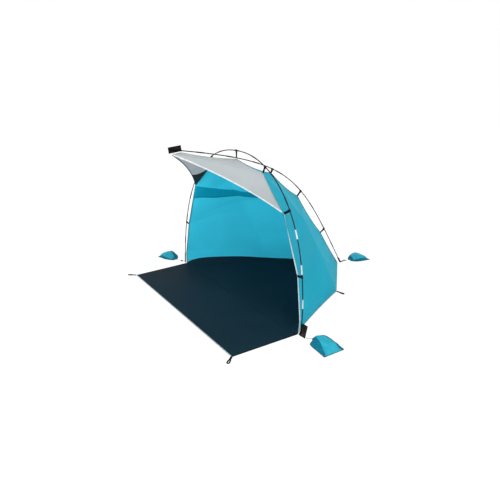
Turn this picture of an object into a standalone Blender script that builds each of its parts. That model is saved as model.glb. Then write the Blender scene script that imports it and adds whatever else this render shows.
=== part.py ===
# Beach tent: two shock-corded poles, a clipped-on canopy, floor, pole pockets and sandbags.
# Metres, +Z up. The opening faces -Y, and the origin is on the ground midway between the hoop's feet.
import math

import bmesh
import bpy
from mathutils import Matrix, Vector

# Hoop pole: a bent rod whose outline is a superellipse, leaning back over its height
hoop_half_span = 1.100
hoop_height = 1.466
hoop_side_power = 2.18
hoop_top_power = 2.455
hoop_lean_share = 0.047
hoop_section_count = 14
hoop_node_section_count = 2

# Spine pole: from the rear foot over the back, under the hoop's top, to the visor's tip
spine_foot_y = 1.600
spine_tip_y = -0.638
spine_tip_rise = 0.0515
spine_tip_height = hoop_height + spine_tip_rise
spine_foot_angle = math.radians(57.5)
spine_tip_angle = math.radians(7.46)
spine_chord = math.hypot(spine_foot_y - spine_tip_y, spine_tip_height)
spine_foot_pull_share = 0.48854
spine_tip_pull_share = 0.53994
spine_section_count = 9
spine_node_section_count = 3

# Pole sections
tube_radius = 0.00475
cord_bore_radius = 0.0022
shock_cord_radius = 0.0015
shock_cord_end_inset = 0.006
ferrule_radius = 0.0061
ferrule_grip = 0.040
socket_clearance = 0.00035
section_end_gap = 0.0005
tube_side_count = 8
station_step = 0.100

# Fabric
fabric_thickness = 0.0020
seam_gap = 0.0008
arch_gap = 0.0014
lining_thickness = 0.0010
lining_gap = 0.0005
strap_reach = 0.062
spine_strap_reach = 0.070
ridge_half_gap = 0.0016

# Places of the clips: shares of a pole's length from its foot, slid clear of the joints' ferrules
lower_clip_share = 0.12820
upper_clip_share = 0.26483
middle_clip_share = 0.38386
lower_spine_clip_share = 0.20223
middle_spine_clip_share = 0.42085
upper_spine_clip_share = 0.58925
clip_joint_gap = 0.0040

# Canopy corners and sags
wall_foot_inset = 0.0375
wall_foot_x = hoop_half_span - wall_foot_inset
hem_bend_inset = 0.0325
hem_bend_x = hoop_half_span - hem_bend_inset
hem_bend_height = 0.130
rear_corner_inset = 0.048
rear_corner_y = spine_foot_y - rear_corner_inset
side_corner_x_share = 0.55364
side_corner_y_share = 0.59472
side_corner_x = hoop_half_span * side_corner_x_share
side_corner_y = rear_corner_y * side_corner_y_share
visor_tip_inset = 0.033
visor_tip_y = spine_tip_y + visor_tip_inset
visor_tip_drop = 0.035
visor_crest_inset = 0.126
visor_crest_y = spine_tip_y + visor_crest_inset
visor_crest_drop = 0.0205
ridge_drop = 0.0112
ridge_sag = 0.022
visor_ridge_sag = 0.012
visor_hem_draw = 0.040
visor_hem_lift = 0.018
upper_clip_pull = 0.022
heel_share = 0.16
heel_lift = 0.034
side_hem_lift = 0.010
rear_hem_lift = 0.012
wall_seat_height = 0.0016
shoulder_front_share = 0.83
shoulder_ridge_share = 0.48
band_front_share = 0.985
band_ridge_share = 0.50
wall_row_count = 9
roof_row_count = 6
band_row_count = 2
side_column_count = 12
visor_column_count = 16
visor_row_count = 9
gusset_cell_count = 3
lining_edge_share = 0.012

# Floor
floor_thickness = 0.0020
floor_edge_gap = 0.0018
floor_curl_width = 0.110
hinge_y = -0.0060
hinge_gap = 0.0004
extension_depth = 0.665
extension_front_inset = 0.066
extension_front_x = hoop_half_span - extension_front_inset

# Pole pockets: flat sleeves of heavy webbing with a channel for the pole
pocket_length = 0.125
pocket_foot_in = -0.030
pocket_foot_out = 0.052
pocket_head_in = 0.0155
pocket_head_out = 0.0755
rear_pocket_length = 0.070
rear_pocket_half = 0.017
pocket_web = 0.0032
pocket_channel_wall = 0.0012
pocket_clearance = 0.0008
pocket_floor = 0.0016
pocket_lift = 0.0010
rear_pocket_lift = 0.0016
left_pocket_turn = math.radians(25)
tip_pocket_width = 0.053
tip_pocket_below = 0.004
tip_pocket_tilt = math.radians(14.5)
tip_tab_width = 0.014

# Clips: a hook for the pole, a neck and a bar for the strap
hook_wall = 0.0026
hook_clearance = 0.00035
hook_lip = 0.0035
bar_distance = 0.0130
bar_half = 0.0017
rail_width = 0.0026
strap_slot_depth = 0.0028

# Straps
strap_width = 0.022
strap_thickness = 0.0016
strap_loop_inner = 0.0027
strap_loop_wall = 0.0012
strap_side_gap = 0.0004
strap_end_gap = 0.0004

# Stake loops
loop_tab_width = 0.020
loop_tab_length = 0.045
loop_eye_width = 0.026
loop_eye_length = 0.052
loop_hole_width = 0.011
loop_hole_length = 0.036
loop_thickness = 0.0016
loop_corner_gap = 0.0034
loop_corner_cut = 0.0035
rear_loop_gap = -0.0110
rear_loop_tab_length = 0.072

# Sandbags and their tethers
bag_length = 0.240
bag_half_width = 0.105
bag_height = 0.080
bag_tie_height = 0.015
bag_edge_height = 0.014
tether_radius = 0.0015
tether_height = 0.012
tether_sag = 0.006
tether_tip_share = 0.35
tether_gap = 0.0008
bag_mouth_gap = 0.0006
tether_end_run = 0.008
right_bag_offset = (0.118, 0.050)
left_bag_offset = (-0.145, -0.068)
rear_bag_offset = (0.029, 0.140)
right_bag_angle = math.radians(-2)
left_bag_angle = math.radians(187)
rear_bag_angle = math.radians(84)

cut_overrun = 0.0100
weld_distance = 0.00001


def material(name, colour, roughness, metallic=0.0):
    result = bpy.data.materials.get(name)
    if result is None:
        result = bpy.data.materials.new(name)
        result.use_nodes = True
        shader = result.node_tree.nodes["Principled BSDF"]
        shader.inputs["Base Color"].default_value = (*colour, 1.0)
        shader.inputs["Roughness"].default_value = roughness
        shader.inputs["Metallic"].default_value = metallic
        result.diffuse_color = (*colour, 1.0)
    return result


def start_scene():
    for old in list(bpy.data.objects):
        bpy.data.objects.remove(old)
    for old in list(bpy.data.collections):
        bpy.data.collections.remove(old)
    for name in ("beach_tent", "cutters"):
        bpy.context.scene.collection.children.link(bpy.data.collections.new(name))


def add_object(name, data, finish, group="beach_tent"):
    result = bpy.data.objects.new(name, data)
    bpy.data.collections[group].objects.link(result)
    if finish is not None:
        data.materials.append(finish)
    return result


def mesh_from_bmesh(name, bm):
    bmesh.ops.remove_doubles(bm, verts=bm.verts, dist=weld_distance)
    bmesh.ops.recalc_face_normals(bm, faces=bm.faces)
    mesh = bpy.data.meshes.new(name)
    bm.to_mesh(mesh)
    bm.free()
    return mesh


def mesh_of_curve(name, curve):
    # The curve's evaluated shape as a welded mesh, so that it can be cut
    holder = bpy.data.objects.new(name + "_curve", curve)
    bpy.context.scene.collection.objects.link(holder)
    graph = bpy.context.evaluated_depsgraph_get()
    mesh = bpy.data.meshes.new_from_object(holder.evaluated_get(graph))
    bpy.data.objects.remove(holder)
    bpy.data.curves.remove(curve)
    bm = bmesh.new()
    bm.from_mesh(mesh)
    bpy.data.meshes.remove(mesh)
    return mesh_from_bmesh(name, bm)


def outline_mesh(name, outlines, thickness):
    # A flat outline in X and Y with its holes, extruded evenly to both sides
    curve = bpy.data.curves.new(name, "CURVE")
    curve.dimensions = "2D"
    curve.fill_mode = "BOTH"
    curve.extrude = thickness / 2
    for points in outlines:
        spline = curve.splines.new("POLY")
        spline.points.add(len(points) - 1)
        spline.use_cyclic_u = True
        for target, (x, y) in zip(spline.points, points):
            target.co = (x, y, 0.0, 1.0)
    return mesh_of_curve(name, curve)


def tube_curve(name, points, radius, resolution, end_share=1.0):
    curve = bpy.data.curves.new(name, "CURVE")
    curve.dimensions = "3D"
    curve.bevel_depth = radius
    curve.bevel_resolution = resolution
    curve.use_fill_caps = True
    spline = curve.splines.new("POLY")
    spline.points.add(len(points) - 1)
    for target, point in zip(spline.points, points):
        target.co = (*point, 1.0)
    spline.points[0].radius = end_share
    return curve


def cut(target, cutters):
    for cutter in cutters:
        cutter.hide_render = True
        cutter.display_type = "WIRE"
        step = target.modifiers.new("cut_" + cutter.name, "BOOLEAN")
        step.operation = "DIFFERENCE"
        step.solver = "EXACT"
        step.object = cutter


def join(target, other):
    other.hide_render = True
    other.display_type = "WIRE"
    step = target.modifiers.new("join_" + other.name, "BOOLEAN")
    step.operation = "UNION"
    step.solver = "EXACT"
    step.object = other


def box_object(name, low, high, group="cutters"):
    bm = bmesh.new()
    bmesh.ops.create_cube(bm, size=1.0)
    low = Vector(low)
    size = Vector(high) - low
    for vertex in bm.verts:
        share = vertex.co + Vector((0.5, 0.5, 0.5))
        vertex.co = low + Vector([s * l for s, l in zip(share, size)])
    return add_object(name, mesh_from_bmesh(name, bm), None, group)


def rod_object(name, radius, low, high, sides, group="cutters"):
    # A round bar along the local Z axis
    bm = bmesh.new()
    bmesh.ops.create_cone(bm, cap_ends=True, segments=sides, radius1=radius, radius2=radius, depth=high - low)
    bmesh.ops.translate(bm, verts=bm.verts, vec=(0.0, 0.0, (high + low) / 2))
    return add_object(name, mesh_from_bmesh(name, bm), None, group)


def hoop_point(angle):
    across = math.cos(angle)
    up = max(math.sin(angle), 0.0)
    x = math.copysign(hoop_half_span * abs(across) ** (2 / hoop_side_power), across)
    z = hoop_height * up ** (2 / hoop_top_power)
    return Vector((x, hoop_lean_share * z, z))


def spine_point(share):
    foot = Vector((0.0, spine_foot_y, 0.0))
    tip = Vector((0.0, spine_tip_y, spine_tip_height))
    foot_way = Vector((0.0, -math.cos(spine_foot_angle), math.sin(spine_foot_angle)))
    tip_way = Vector((0.0, math.cos(spine_tip_angle), -math.sin(spine_tip_angle)))
    foot_handle = foot + foot_way * spine_chord * spine_foot_pull_share
    tip_handle = tip + tip_way * spine_chord * spine_tip_pull_share
    handles = (foot, foot_handle, tip_handle, tip)
    rest = 1.0 - share
    weights = (rest ** 3, 3 * rest * rest * share, 3 * rest * share * share, share ** 3)
    return sum((handle * weight for handle, weight in zip(handles, weights)), Vector())


class Pole:
    # A pole's centre line as straight runs between stations, which every piece on the pole shares
    fine_steps = 4000

    def __init__(self, point_at, last, side_way, fixed_distances, straight_ends):
        points = [point_at(last * step / self.fine_steps) for step in range(self.fine_steps + 1)]
        self.points = points
        self.lengths = [0.0]
        for start, end in zip(points, points[1:]):
            self.lengths.append(self.lengths[-1] + (end - start).length)
        self.length = self.lengths[-1]
        self.side_way = Vector(side_way).normalized()
        marks = [0.0, self.length, straight_ends[0], self.length - straight_ends[1], *fixed_distances]
        marks = sorted(set(marks))
        self.stations = [marks[0]]
        for mark in marks[1:]:
            run = mark - self.stations[-1]
            whole = straight_ends[0] < mark <= self.length - straight_ends[1]
            pieces = max(1, math.ceil(run / station_step)) if whole else 1
            start = self.stations[-1]
            self.stations += [start + run * piece / pieces for piece in range(1, pieces + 1)]
        self.corners = [self.on_curve(station) for station in self.stations]

    def on_curve(self, distance):
        for step in range(1, len(self.lengths)):
            if self.lengths[step] >= distance - 1e-9:
                start = self.lengths[step - 1]
                share = (distance - start) / (self.lengths[step] - start)
                return self.points[step - 1].lerp(self.points[step], min(max(share, 0.0), 1.0))
        return self.points[-1].copy()

    def run_of(self, distance):
        for step in range(1, len(self.stations)):
            if self.stations[step] >= distance - 1e-7:
                return step
        return len(self.stations) - 1

    def place(self, distance):
        step = self.run_of(distance)
        start, end = self.stations[step - 1], self.stations[step]
        share = (distance - start) / (end - start)
        return self.corners[step - 1] + (self.corners[step] - self.corners[step - 1]) * share

    def way(self, distance):
        # The direction of the run, or the mean of two runs at a station between them
        step = self.run_of(distance)
        here = (self.corners[step] - self.corners[step - 1]).normalized()
        at_station = abs(self.stations[step] - distance) < 1e-6
        if at_station and step + 1 < len(self.stations):
            after = (self.corners[step + 1] - self.corners[step]).normalized()
            return (here + after).normalized()
        return here

    def bend(self, local):
        # A point of a straight piece, whose Z is the distance along the pole, set on the bent pole
        way = self.way(local.z)
        across = self.side_way.cross(way).normalized()
        return self.place(local.z) + across * local.x + self.side_way * local.y


def clip_marks(distances, half_length):
    return [d + side * half_length for d in distances for side in (-1, 1)]


def joint_distances(length, count):
    return [length * step / count for step in range(1, count)]


def ferrule_marks(length, count):
    return [d + side * ferrule_grip for d in joint_distances(length, count) for side in (-1, 0, 1)]


def clip_places(shares, length, count, half_length):
    # Each clip's distance from the foot; one that would meet a ferrule slides along the tube until it is clear
    result = []
    for share in shares:
        pitch = length / count
        joint = round(share * count) * pitch
        away = share * length - joint
        clear = ferrule_grip + half_length + clip_joint_gap
        result.append(joint + math.copysign(max(abs(away), clear), away))
    return result


def make_poles():
    half_clip = strap_width / 2 + strap_side_gap + rail_width
    bare = Pole(hoop_point, math.pi, (1.0, 0.0, 0.0), [], (pocket_length, pocket_length))
    span = bare.length
    shares = (lower_clip_share, upper_clip_share, middle_clip_share)
    places = clip_places(shares, span, hoop_section_count, half_clip)
    places += [span / 2] + [span - place for place in places]
    marks = clip_marks(places, half_clip) + ferrule_marks(span, hoop_section_count)
    side = Vector((1.0, 0.0, 0.0)).cross(Vector((0.0, hoop_lean_share, 1.0)))
    hoop = Pole(hoop_point, math.pi, side, marks, (pocket_length, pocket_length))
    hoop.clips = dict(zip(("lower_right", "upper_right", "middle_right", "apex", "lower_left", "upper_left",
                           "middle_left"), places))
    rough = Pole(spine_point, 1.0, (1.0, 0.0, 0.0), [], (pocket_length, pocket_length))
    shares = (lower_spine_clip_share, middle_spine_clip_share, upper_spine_clip_share)
    spots = clip_places(shares, rough.length, spine_section_count, half_clip)
    marks = clip_marks(spots, half_clip) + ferrule_marks(rough.length, spine_section_count)
    spine = Pole(spine_point, 1.0, (1.0, 0.0, 0.0), marks, (rear_pocket_length, pocket_length))
    spine.clips = dict(zip(("rear_lower", "rear_middle", "rear_upper"), spots))
    return hoop, spine


def pole_section(name, pole, start, end, inner_joints, with_socket, finish):
    # A straight turned piece: tube, the ferrules inside the node, and the socket that takes the next node
    outer = [(start, tube_radius)]
    for joint in inner_joints:
        outer += [(joint - ferrule_grip, tube_radius), (joint - ferrule_grip, ferrule_radius)]
        outer += [(joint + ferrule_grip, ferrule_radius), (joint + ferrule_grip, tube_radius)]
    if with_socket:
        outer += [(end - ferrule_grip, tube_radius), (end - ferrule_grip, ferrule_radius)]
        outer += [(end + ferrule_grip, ferrule_radius)]
        inner = [(end + ferrule_grip, tube_radius + socket_clearance), (end, tube_radius + socket_clearance)]
        inner += [(end, cord_bore_radius)]
    else:
        outer += [(end, tube_radius)]
        inner = [(end, cord_bore_radius)]
    inner += [(start, cord_bore_radius)]

    def with_stations(outline):
        result = [outline[0]]
        for (d0, r0), (d1, r1) in zip(outline, outline[1:]):
            low, high = min(d0, d1), max(d0, d1)
            inside = [s for s in pole.stations if low + station_step / 100 < s < high - station_step / 100]
            inside = inside if d1 > d0 else inside[::-1]
            result += [(s, r0 + (r1 - r0) * (s - d0) / (d1 - d0)) for s in inside] + [(d1, r1)]
        return result

    loop = with_stations(outer) + with_stations(inner)
    bm = bmesh.new()
    corners = [bm.verts.new((radius, 0.0, distance)) for distance, radius in loop]
    edges = [bm.edges.new(pair) for pair in zip(corners, corners[1:] + corners[:1])]
    bmesh.ops.spin(bm, geom=corners + edges, cent=(0.0, 0.0, 0.0), axis=(0.0, 0.0, 1.0), dvec=(0.0, 0.0, 0.0),
                   angle=math.tau, steps=tube_side_count, use_merge=True, use_duplicate=False)
    bmesh.ops.remove_doubles(bm, verts=bm.verts, dist=weld_distance)
    for vertex in bm.verts:
        vertex.co = pole.bend(vertex.co)
    result = add_object(name, mesh_from_bmesh(name, bm), finish)
    result.data.shade_smooth()
    result.data.set_sharp_from_angle(angle=math.radians(50))
    return result


def build_pole(name, pole, count, per_node, inset, finish):
    joints = [0.0] + joint_distances(pole.length, count) + [pole.length]
    first = inset
    for index, low in enumerate(range(0, count, per_node)):
        high = min(low + per_node, count)
        last = high == count
        end = pole.length - inset if last else joints[high]
        pole_section("%s_section_%d" % (name, index + 1), pole, first, end, joints[low + 1:high], not last, finish)
        first = end + section_end_gap


def build_shock_cord(name, pole, inset, finish):
    low, high = inset + shock_cord_end_inset, pole.length - inset - shock_cord_end_inset
    marks = [low] + [s for s in pole.stations if low < s < high] + [high]
    curve = tube_curve(name, [pole.place(mark) for mark in marks], shock_cord_radius, 1)
    add_object(name, mesh_of_curve(name, curve), finish)


def polyline_share(corners, sags, share):
    # A point on an edge that is pulled taut between its corners, each run sagging by its own vector
    runs = [(end - start).length for start, end in zip(corners, corners[1:])]
    left = min(max(share, 0.0), 1.0) * sum(runs)
    for start, end, run, sag in zip(corners, corners[1:], runs, sags):
        if left <= run or end is corners[-1]:
            part = min(left / run, 1.0)
            return start.lerp(end, part) + sag * (4 * part * (1 - part))
        left -= run
    return corners[-1].copy()


def inward(pole, distance, centre_pull):
    # From the pole towards the canopy: square to the pole, in the pole's own plane
    way = pole.way(distance)
    across = pole.side_way.cross(way).normalized()
    return across if across.dot(centre_pull) > 0 else -across


class Canopy:
    # Where each panel's edges lie on the right half; the left half is its mirror image in X
    def __init__(self, hoop, spine):
        middle = Vector((0.0, hoop_half_span / 2, hoop_height / 4))
        self.hooks = {}

        def hang(name, pole, distance, reach, extra=Vector()):
            start = pole.place(distance)
            end = start + inward(pole, distance, middle - start) * reach + extra
            self.hooks[name] = (pole, distance, end)
            return end

        lower = hang("lower_right", hoop, hoop.clips["lower_right"], strap_reach)
        upper = hang("upper_right", hoop, hoop.clips["upper_right"], strap_reach, Vector((0, -upper_clip_pull, 0)))
        centre = hang("middle_right", hoop, hoop.clips["middle_right"], strap_reach)
        for name in ("lower", "upper", "middle"):
            end = self.hooks[name + "_right"][2]
            self.hooks[name + "_left"] = (hoop, hoop.clips[name + "_left"], Vector((-end.x, end.y, end.z)))
        crossing = hoop.place(hoop.length / 2)
        beneath = min((spine.place(d / 2000 * spine.length) for d in range(2001)),
                      key=lambda p: abs(p.y - crossing.y))
        apex = Vector((0.0, crossing.y, beneath.z - ridge_drop))
        self.hooks["apex"] = (hoop, hoop.length / 2, apex)
        self.spine_over_apex = beneath
        ridge = [hang(name, spine, spine.clips[name], spine_strap_reach * share)
                 for name, share in (("rear_lower", 1.0), ("rear_middle", 1.0), ("rear_upper", 0.62))]
        foot = Vector((wall_foot_x, 0.0, wall_seat_height))
        bend = Vector((hem_bend_x, hoop_lean_share * hem_bend_height, hem_bend_height))
        rear = Vector((0.0, rear_corner_y, wall_seat_height))
        side = Vector((side_corner_x, side_corner_y, wall_seat_height))
        none = Vector()
        down = Vector((0.0, 0.0, -1.0))
        up = Vector((0.0, 0.0, 1.0))
        self.tip = Vector((0.0, visor_tip_y, spine_tip_height - tip_pocket_below * 3 - visor_tip_drop))
        crest = Vector((0.0, visor_crest_y, spine_tip_height - tip_pocket_below * 3 - visor_crest_drop))
        self.hem = ([foot, bend, lower, upper], [none] * 3)
        self.ridge = ([rear, *ridge, apex], [down * ridge_sag / 2] + [down * ridge_sag] * 3)
        heel = foot.lerp(side, heel_share) + up * heel_lift
        self.bottom = ([foot, heel, side, rear], [none, up * side_hem_lift, up * rear_hem_lift])
        before = (heel - foot).length + (side - heel).length
        self.corner_share = before / (before + (rear - side).length)
        self.arch = ([upper, centre, apex], [down * ridge_sag / 2] * 2)
        hem_sag = Vector((0.0, visor_hem_draw, visor_hem_lift))
        self.visor_hem = ([self.tip, upper], [hem_sag])
        self.visor_ridge = ([self.tip, crest, apex], [none, down * visor_ridge_sag])

    def column(self, share):
        # Half of the columns stand before the side corner and half behind it, so that one of them meets it
        if share <= 0.5:
            return self.corner_share * share * 2
        return self.corner_share + (1 - self.corner_share) * (share * 2 - 1)

    def side(self, across, up):
        # Blends the four edges: across runs from the front hem to the ridge, up from the ground to the arch
        bottom = polyline_share(*self.bottom, across)
        top = polyline_share(*self.arch, across)
        front = polyline_share(*self.hem, up)
        back = polyline_share(*self.ridge, up)
        corners = (self.hem[0][0], self.ridge[0][0], self.hem[0][-1], self.ridge[0][-1])
        flat = corners[0] * (1 - across) * (1 - up) + corners[1] * across * (1 - up)
        flat += corners[2] * (1 - across) * up + corners[3] * across * up
        point = bottom * (1 - up) + top * up + front * (1 - across) + back * across - flat
        return Vector((max(point.x, ridge_half_gap), point.y, point.z))

    def visor(self, across, back):
        # across runs from the left hem at -1 over the ridge to the right hem at 1, back from the tip to the arch
        reach = abs(across)
        base = polyline_share(*self.arch, 1 - reach)
        straight = self.tip.lerp(base, back)
        hem_way = polyline_share(*self.visor_hem, back) - self.tip.lerp(self.visor_hem[0][1], back)
        ridge_way = polyline_share(*self.visor_ridge, back) - self.tip.lerp(self.visor_ridge[0][-1], back)
        point = straight + hem_way * reach * reach + ridge_way * (1 - reach)
        return Vector((math.copysign(point.x, across), point.y, point.z))

    def shoulder(self, across):
        bend = across * across * (3 - 2 * across)
        return shoulder_front_share + (shoulder_ridge_share - shoulder_front_share) * bend

    def band_top(self, across):
        bend = 1 - (1 - across) ** 3
        return band_front_share + (band_ridge_share - band_front_share) * bend


def offset_surface(surface, distance):
    # The same surface moved along its own normal
    def moved(first, second):
        step = 1 / 500
        low, high = max(first - step, -1.0), min(first + step, 1.0)
        along = surface(high, second) - surface(low, second)
        low, high = max(second - step, 0.0), min(second + step, 1.0)
        over = surface(first, high) - surface(first, low)
        return surface(first, second) + along.cross(over).normalized() * distance
    return moved


def panel(name, columns, rows, place, thickness, finish, mirrored=False, halved=False):
    # A grid set on a surface, then given its thickness to both sides
    bm = bmesh.new()
    bmesh.ops.create_grid(bm, x_segments=columns, y_segments=rows, size=0.5)
    if halved:
        everything = bm.verts[:] + bm.edges[:] + bm.faces[:]
        bmesh.ops.bisect_plane(bm, geom=everything, dist=weld_distance, plane_co=(0.0, 0.0, 0.0),
                               plane_no=(1.0, 1.0, 0.0), clear_outer=True)
    for vertex in bm.verts:
        point = place(vertex.co.x + 0.5, vertex.co.y + 0.5)
        vertex.co = Vector((-point.x, point.y, point.z)) if mirrored else point
    result = add_object(name, mesh_from_bmesh(name, bm), finish)
    skin = result.modifiers.new("thickness", "SOLIDIFY")
    skin.thickness = thickness
    skin.offset = 0.0
    result.data.shade_smooth()
    return result


def build_canopy(canopy, cyan, grey, dark, teal):
    height_share = seam_gap / hoop_height
    inside = -(fabric_thickness / 2 + lining_gap + lining_thickness / 2)
    lining = offset_surface(canopy.side, inside)
    under = offset_surface(canopy.visor, inside)
    tip_share = 0.012
    back_share = arch_gap / (canopy.arch[0][-1].y - visor_tip_y)

    def roof_share(across, row):
        # The roof's rows: the lowest ones carry the shade band, the others reach the arch
        low = canopy.shoulder(across) + height_share
        middle = max(canopy.band_top(across), low + height_share * band_row_count)
        if row <= band_row_count:
            return low + (middle - low) * row / band_row_count
        upper = (row - band_row_count) / (roof_row_count - band_row_count)
        return middle + (1 - arch_gap / hoop_height - middle) * upper

    def visor_share(back):
        return tip_share + back * (1 - back_share - tip_share)

    def wall(a, b):
        across = canopy.column(a)
        return canopy.side(across, b * (canopy.shoulder(across) - height_share))

    def roof(a, b):
        across = canopy.column(a)
        return canopy.side(across, roof_share(across, b * roof_row_count))

    def band(a, b):
        across = min(canopy.column(a), 1 - lining_edge_share)
        return lining(across, roof_share(across, b * band_row_count))

    def gusset(a, b):
        back = min(1 - (1 - b) * gusset_cell_count / visor_row_count, 1 - lining_edge_share)
        return under(1 - (1 - a) * gusset_cell_count * 2 / visor_column_count, visor_share(back))

    for side, mirrored in (("right", False), ("left", True)):
        panel("wall_" + side, side_column_count, wall_row_count, wall, fabric_thickness, cyan, mirrored)
        panel("roof_" + side, side_column_count, roof_row_count, roof, fabric_thickness, cyan, mirrored)
        panel("shade_band_" + side, side_column_count, band_row_count, band, lining_thickness, teal, mirrored)
        panel("corner_gusset_" + side, gusset_cell_count, gusset_cell_count, lambda a, b: gusset(1 - a, 1 - b),
              lining_thickness, dark, mirrored, True)
    panel("visor", visor_column_count, visor_row_count, lambda a, b: canopy.visor(a * 2 - 1, visor_share(b)),
          fabric_thickness, grey)


def floor_edge_at(canopy, share):
    # The floor's right edge beside a column of the wall: just inside the hem, and lifted with it
    hem = polyline_share(*canopy.bottom, share)
    step = 1 / side_column_count
    along = polyline_share(*canopy.bottom, share + step) - polyline_share(*canopy.bottom, share - step)
    inset = floor_edge_gap / abs(along.xy.normalized().y)
    return max(hem.x - inset, 0.0), hem.y, hem.z - wall_seat_height


def build_floor(canopy, navy):
    edge_shares = [0.0, 0.04, 0.09, 0.5, 0.91, 0.96, 1.0]
    front_y = hinge_y + hinge_gap
    back_y = rear_corner_y - 2 * floor_edge_gap

    def place(a, b):
        reach, depth, lift = floor_edge_at(canopy, canopy.column(b))
        y = min(depth, back_y) if b > 0 else front_y
        x = (edge_shares[round(a * (len(edge_shares) - 1))] * 2 - 1) * reach
        curl = max(0.0, 1 - (reach - abs(x)) / floor_curl_width)
        return Vector((x, y, floor_thickness / 2 + lift * curl * curl))
    panel("floor_main", len(edge_shares) - 1, side_column_count, place, floor_thickness, navy)
    half_back = wall_foot_x - floor_edge_gap
    back = hinge_y - hinge_gap
    outline = [(-half_back, back), (-extension_front_x, -extension_depth),
               (extension_front_x, -extension_depth), (half_back, back)]
    mesh = outline_mesh("floor_extension", [outline], floor_thickness)
    result = add_object("floor_extension", mesh, navy)
    result.location = (0.0, 0.0, floor_thickness / 2)
    return result


def frame_matrix(origin, x_way, z_way):
    z_way = z_way.normalized()
    x_way = (x_way - z_way * x_way.dot(z_way)).normalized()
    y_way = z_way.cross(x_way)
    turn = Matrix((x_way, y_way, z_way)).transposed()
    return Matrix.Translation(origin) @ turn.to_4x4()


def arc(centre, radius, first, last, steps):
    return [(centre + radius * math.cos(math.radians(first + (last - first) * step / steps)),
             radius * math.sin(math.radians(first + (last - first) * step / steps))) for step in range(steps + 1)]


def clip_sides(held_radius):
    # The inner and the outer side of the clip: bar and neck, then the hook round the pole at -X
    pole_x = -(bar_distance + held_radius - tube_radius)
    bay = held_radius + hook_clearance
    outer = bay + hook_wall
    slot = -bar_half - strap_slot_depth
    neck_turn = math.degrees(math.asin(bar_half / outer))
    inner_side = [(bar_half, bar_half), (-bar_half, bar_half), (slot, bar_half), (pole_x + outer, bar_half)]
    inner_side += arc(pole_x, bay, 0, -180, 8) + [(pole_x - bay - hook_clearance, hook_lip)]
    outer_side = [(bar_half, -bar_half), (-bar_half, -bar_half), (slot, -bar_half)]
    outer_side += arc(pole_x, outer, -neck_turn, -180, 9) + [(pole_x - outer - hook_clearance, hook_lip)]
    return inner_side, outer_side


def clip_mesh(name, sides, length):
    # The two sides drawn out along the pole in three runs; the middle run's neck is opened as the strap's slot
    half = length / 2
    bm = bmesh.new()
    levels = [[[bm.verts.new((x, y, z)) for x, y in side] for side in sides]
              for z in (-half, rail_width - half, half - rail_width, half)]
    last = len(sides[0]) - 1
    for run, (near, far) in enumerate(zip(levels, levels[1:])):
        for side in (0, 1):
            for step in range(last):
                if run != 1 or step != 1:
                    bm.faces.new((near[side][step], near[side][step + 1], far[side][step + 1], far[side][step]))
        for end in (0, last):
            bm.faces.new((near[0][end], near[1][end], far[1][end], far[0][end]))
    for level in (levels[0], levels[-1]):
        for step in range(last):
            bm.faces.new((level[0][step], level[0][step + 1], level[1][step + 1], level[1][step]))
    for level in levels[1:-1]:
        bm.faces.new((level[0][1], level[0][2], level[1][2], level[1][1]))
    for step in (1, 2):
        bm.faces.new((levels[1][0][step], levels[2][0][step], levels[2][1][step], levels[1][1][step]))
    return mesh_from_bmesh(name, bm)


def strap_outlines(reach):
    # A loop round the clip's bar at the origin, and the tail that runs to the canopy
    outer = strap_loop_inner + strap_loop_wall
    turn = math.degrees(math.asin(strap_thickness / 2 / outer))
    tail = [(reach, -strap_thickness / 2), (reach, strap_thickness / 2)]
    return [tail + arc(0.0, outer, turn, 360 - turn, 12), arc(0.0, strap_loop_inner, 0, 330, 11)]


def build_clip(name, pole, distance, end, held_radius, mouth_way, black, webbing, fork_at=None):
    # The clip and its strap share a frame: X runs to the canopy, Z along the pole, mouth towards +Y
    centre = pole.place(distance)
    along = pole.way(distance)
    inward_way = end - centre
    if along.cross(inward_way).dot(mouth_way) < 0:
        along = -along
    reach_to_pole = bar_distance + held_radius - tube_radius
    square = (inward_way - along * inward_way.dot(along)).normalized()
    bar = centre + square * reach_to_pole
    length = strap_width + 2 * (strap_side_gap + rail_width)
    place = frame_matrix(bar, inward_way, along)
    body = add_object("clip_" + name, clip_mesh("clip_" + name, clip_sides(held_radius), length), black)
    body.matrix_world = place
    strap_place = frame_matrix(bar, end - bar, along)
    reach = (end - bar).length - fabric_thickness / 2 - strap_end_gap
    strap = add_object("strap_" + name, outline_mesh("strap_" + name, strap_outlines(reach), strap_width), webbing)
    strap.matrix_world = strap_place
    if fork_at is not None:
        # The top strap straddles the spine pole, which passes between its two legs
        notch_start = (fork_at - bar).dot((end - bar).normalized()) - tube_radius - pocket_clearance
        half = tube_radius + 2 * pocket_clearance
        notch = box_object("notch_" + name, (notch_start, -cut_overrun, -half), (reach + cut_overrun, cut_overrun, half))
        notch.matrix_world = strap_place
        cut(strap, [notch])


def build_clips(canopy, black, webbing):
    for name, (pole, distance, end) in canopy.hooks.items():
        on_spine = name.startswith("rear")
        mouth = Vector((1.0, 0.0, 0.0)) if on_spine else Vector((0.0, 1.0, 0.0))
        held = ferrule_radius if name == "apex" else tube_radius
        fork = canopy.spine_over_apex if name == "apex" else None
        build_clip(name, pole, distance, end, held, mouth, black, webbing, fork)


def plain_plate(length, foot_in, foot_out, head_in, head_out):
    # The pocket's flat web: across at the closed end and at the mouth
    return [(foot_in, 0.0), (foot_out, 0.0), (head_out, length), (head_in, length)]


def tilted_plate(length, width, below, tilt):
    # The tip's web, turned about the place where the pole comes out of it
    side, rise = math.cos(tilt), math.sin(tilt)
    corners = [(-below, 0.0), (width - below, 0.0), (width - below, length), (-below, length)]
    return [(x * side + (z - length) * rise, length + (z - length) * side - x * rise) for x, z in corners]


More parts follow.
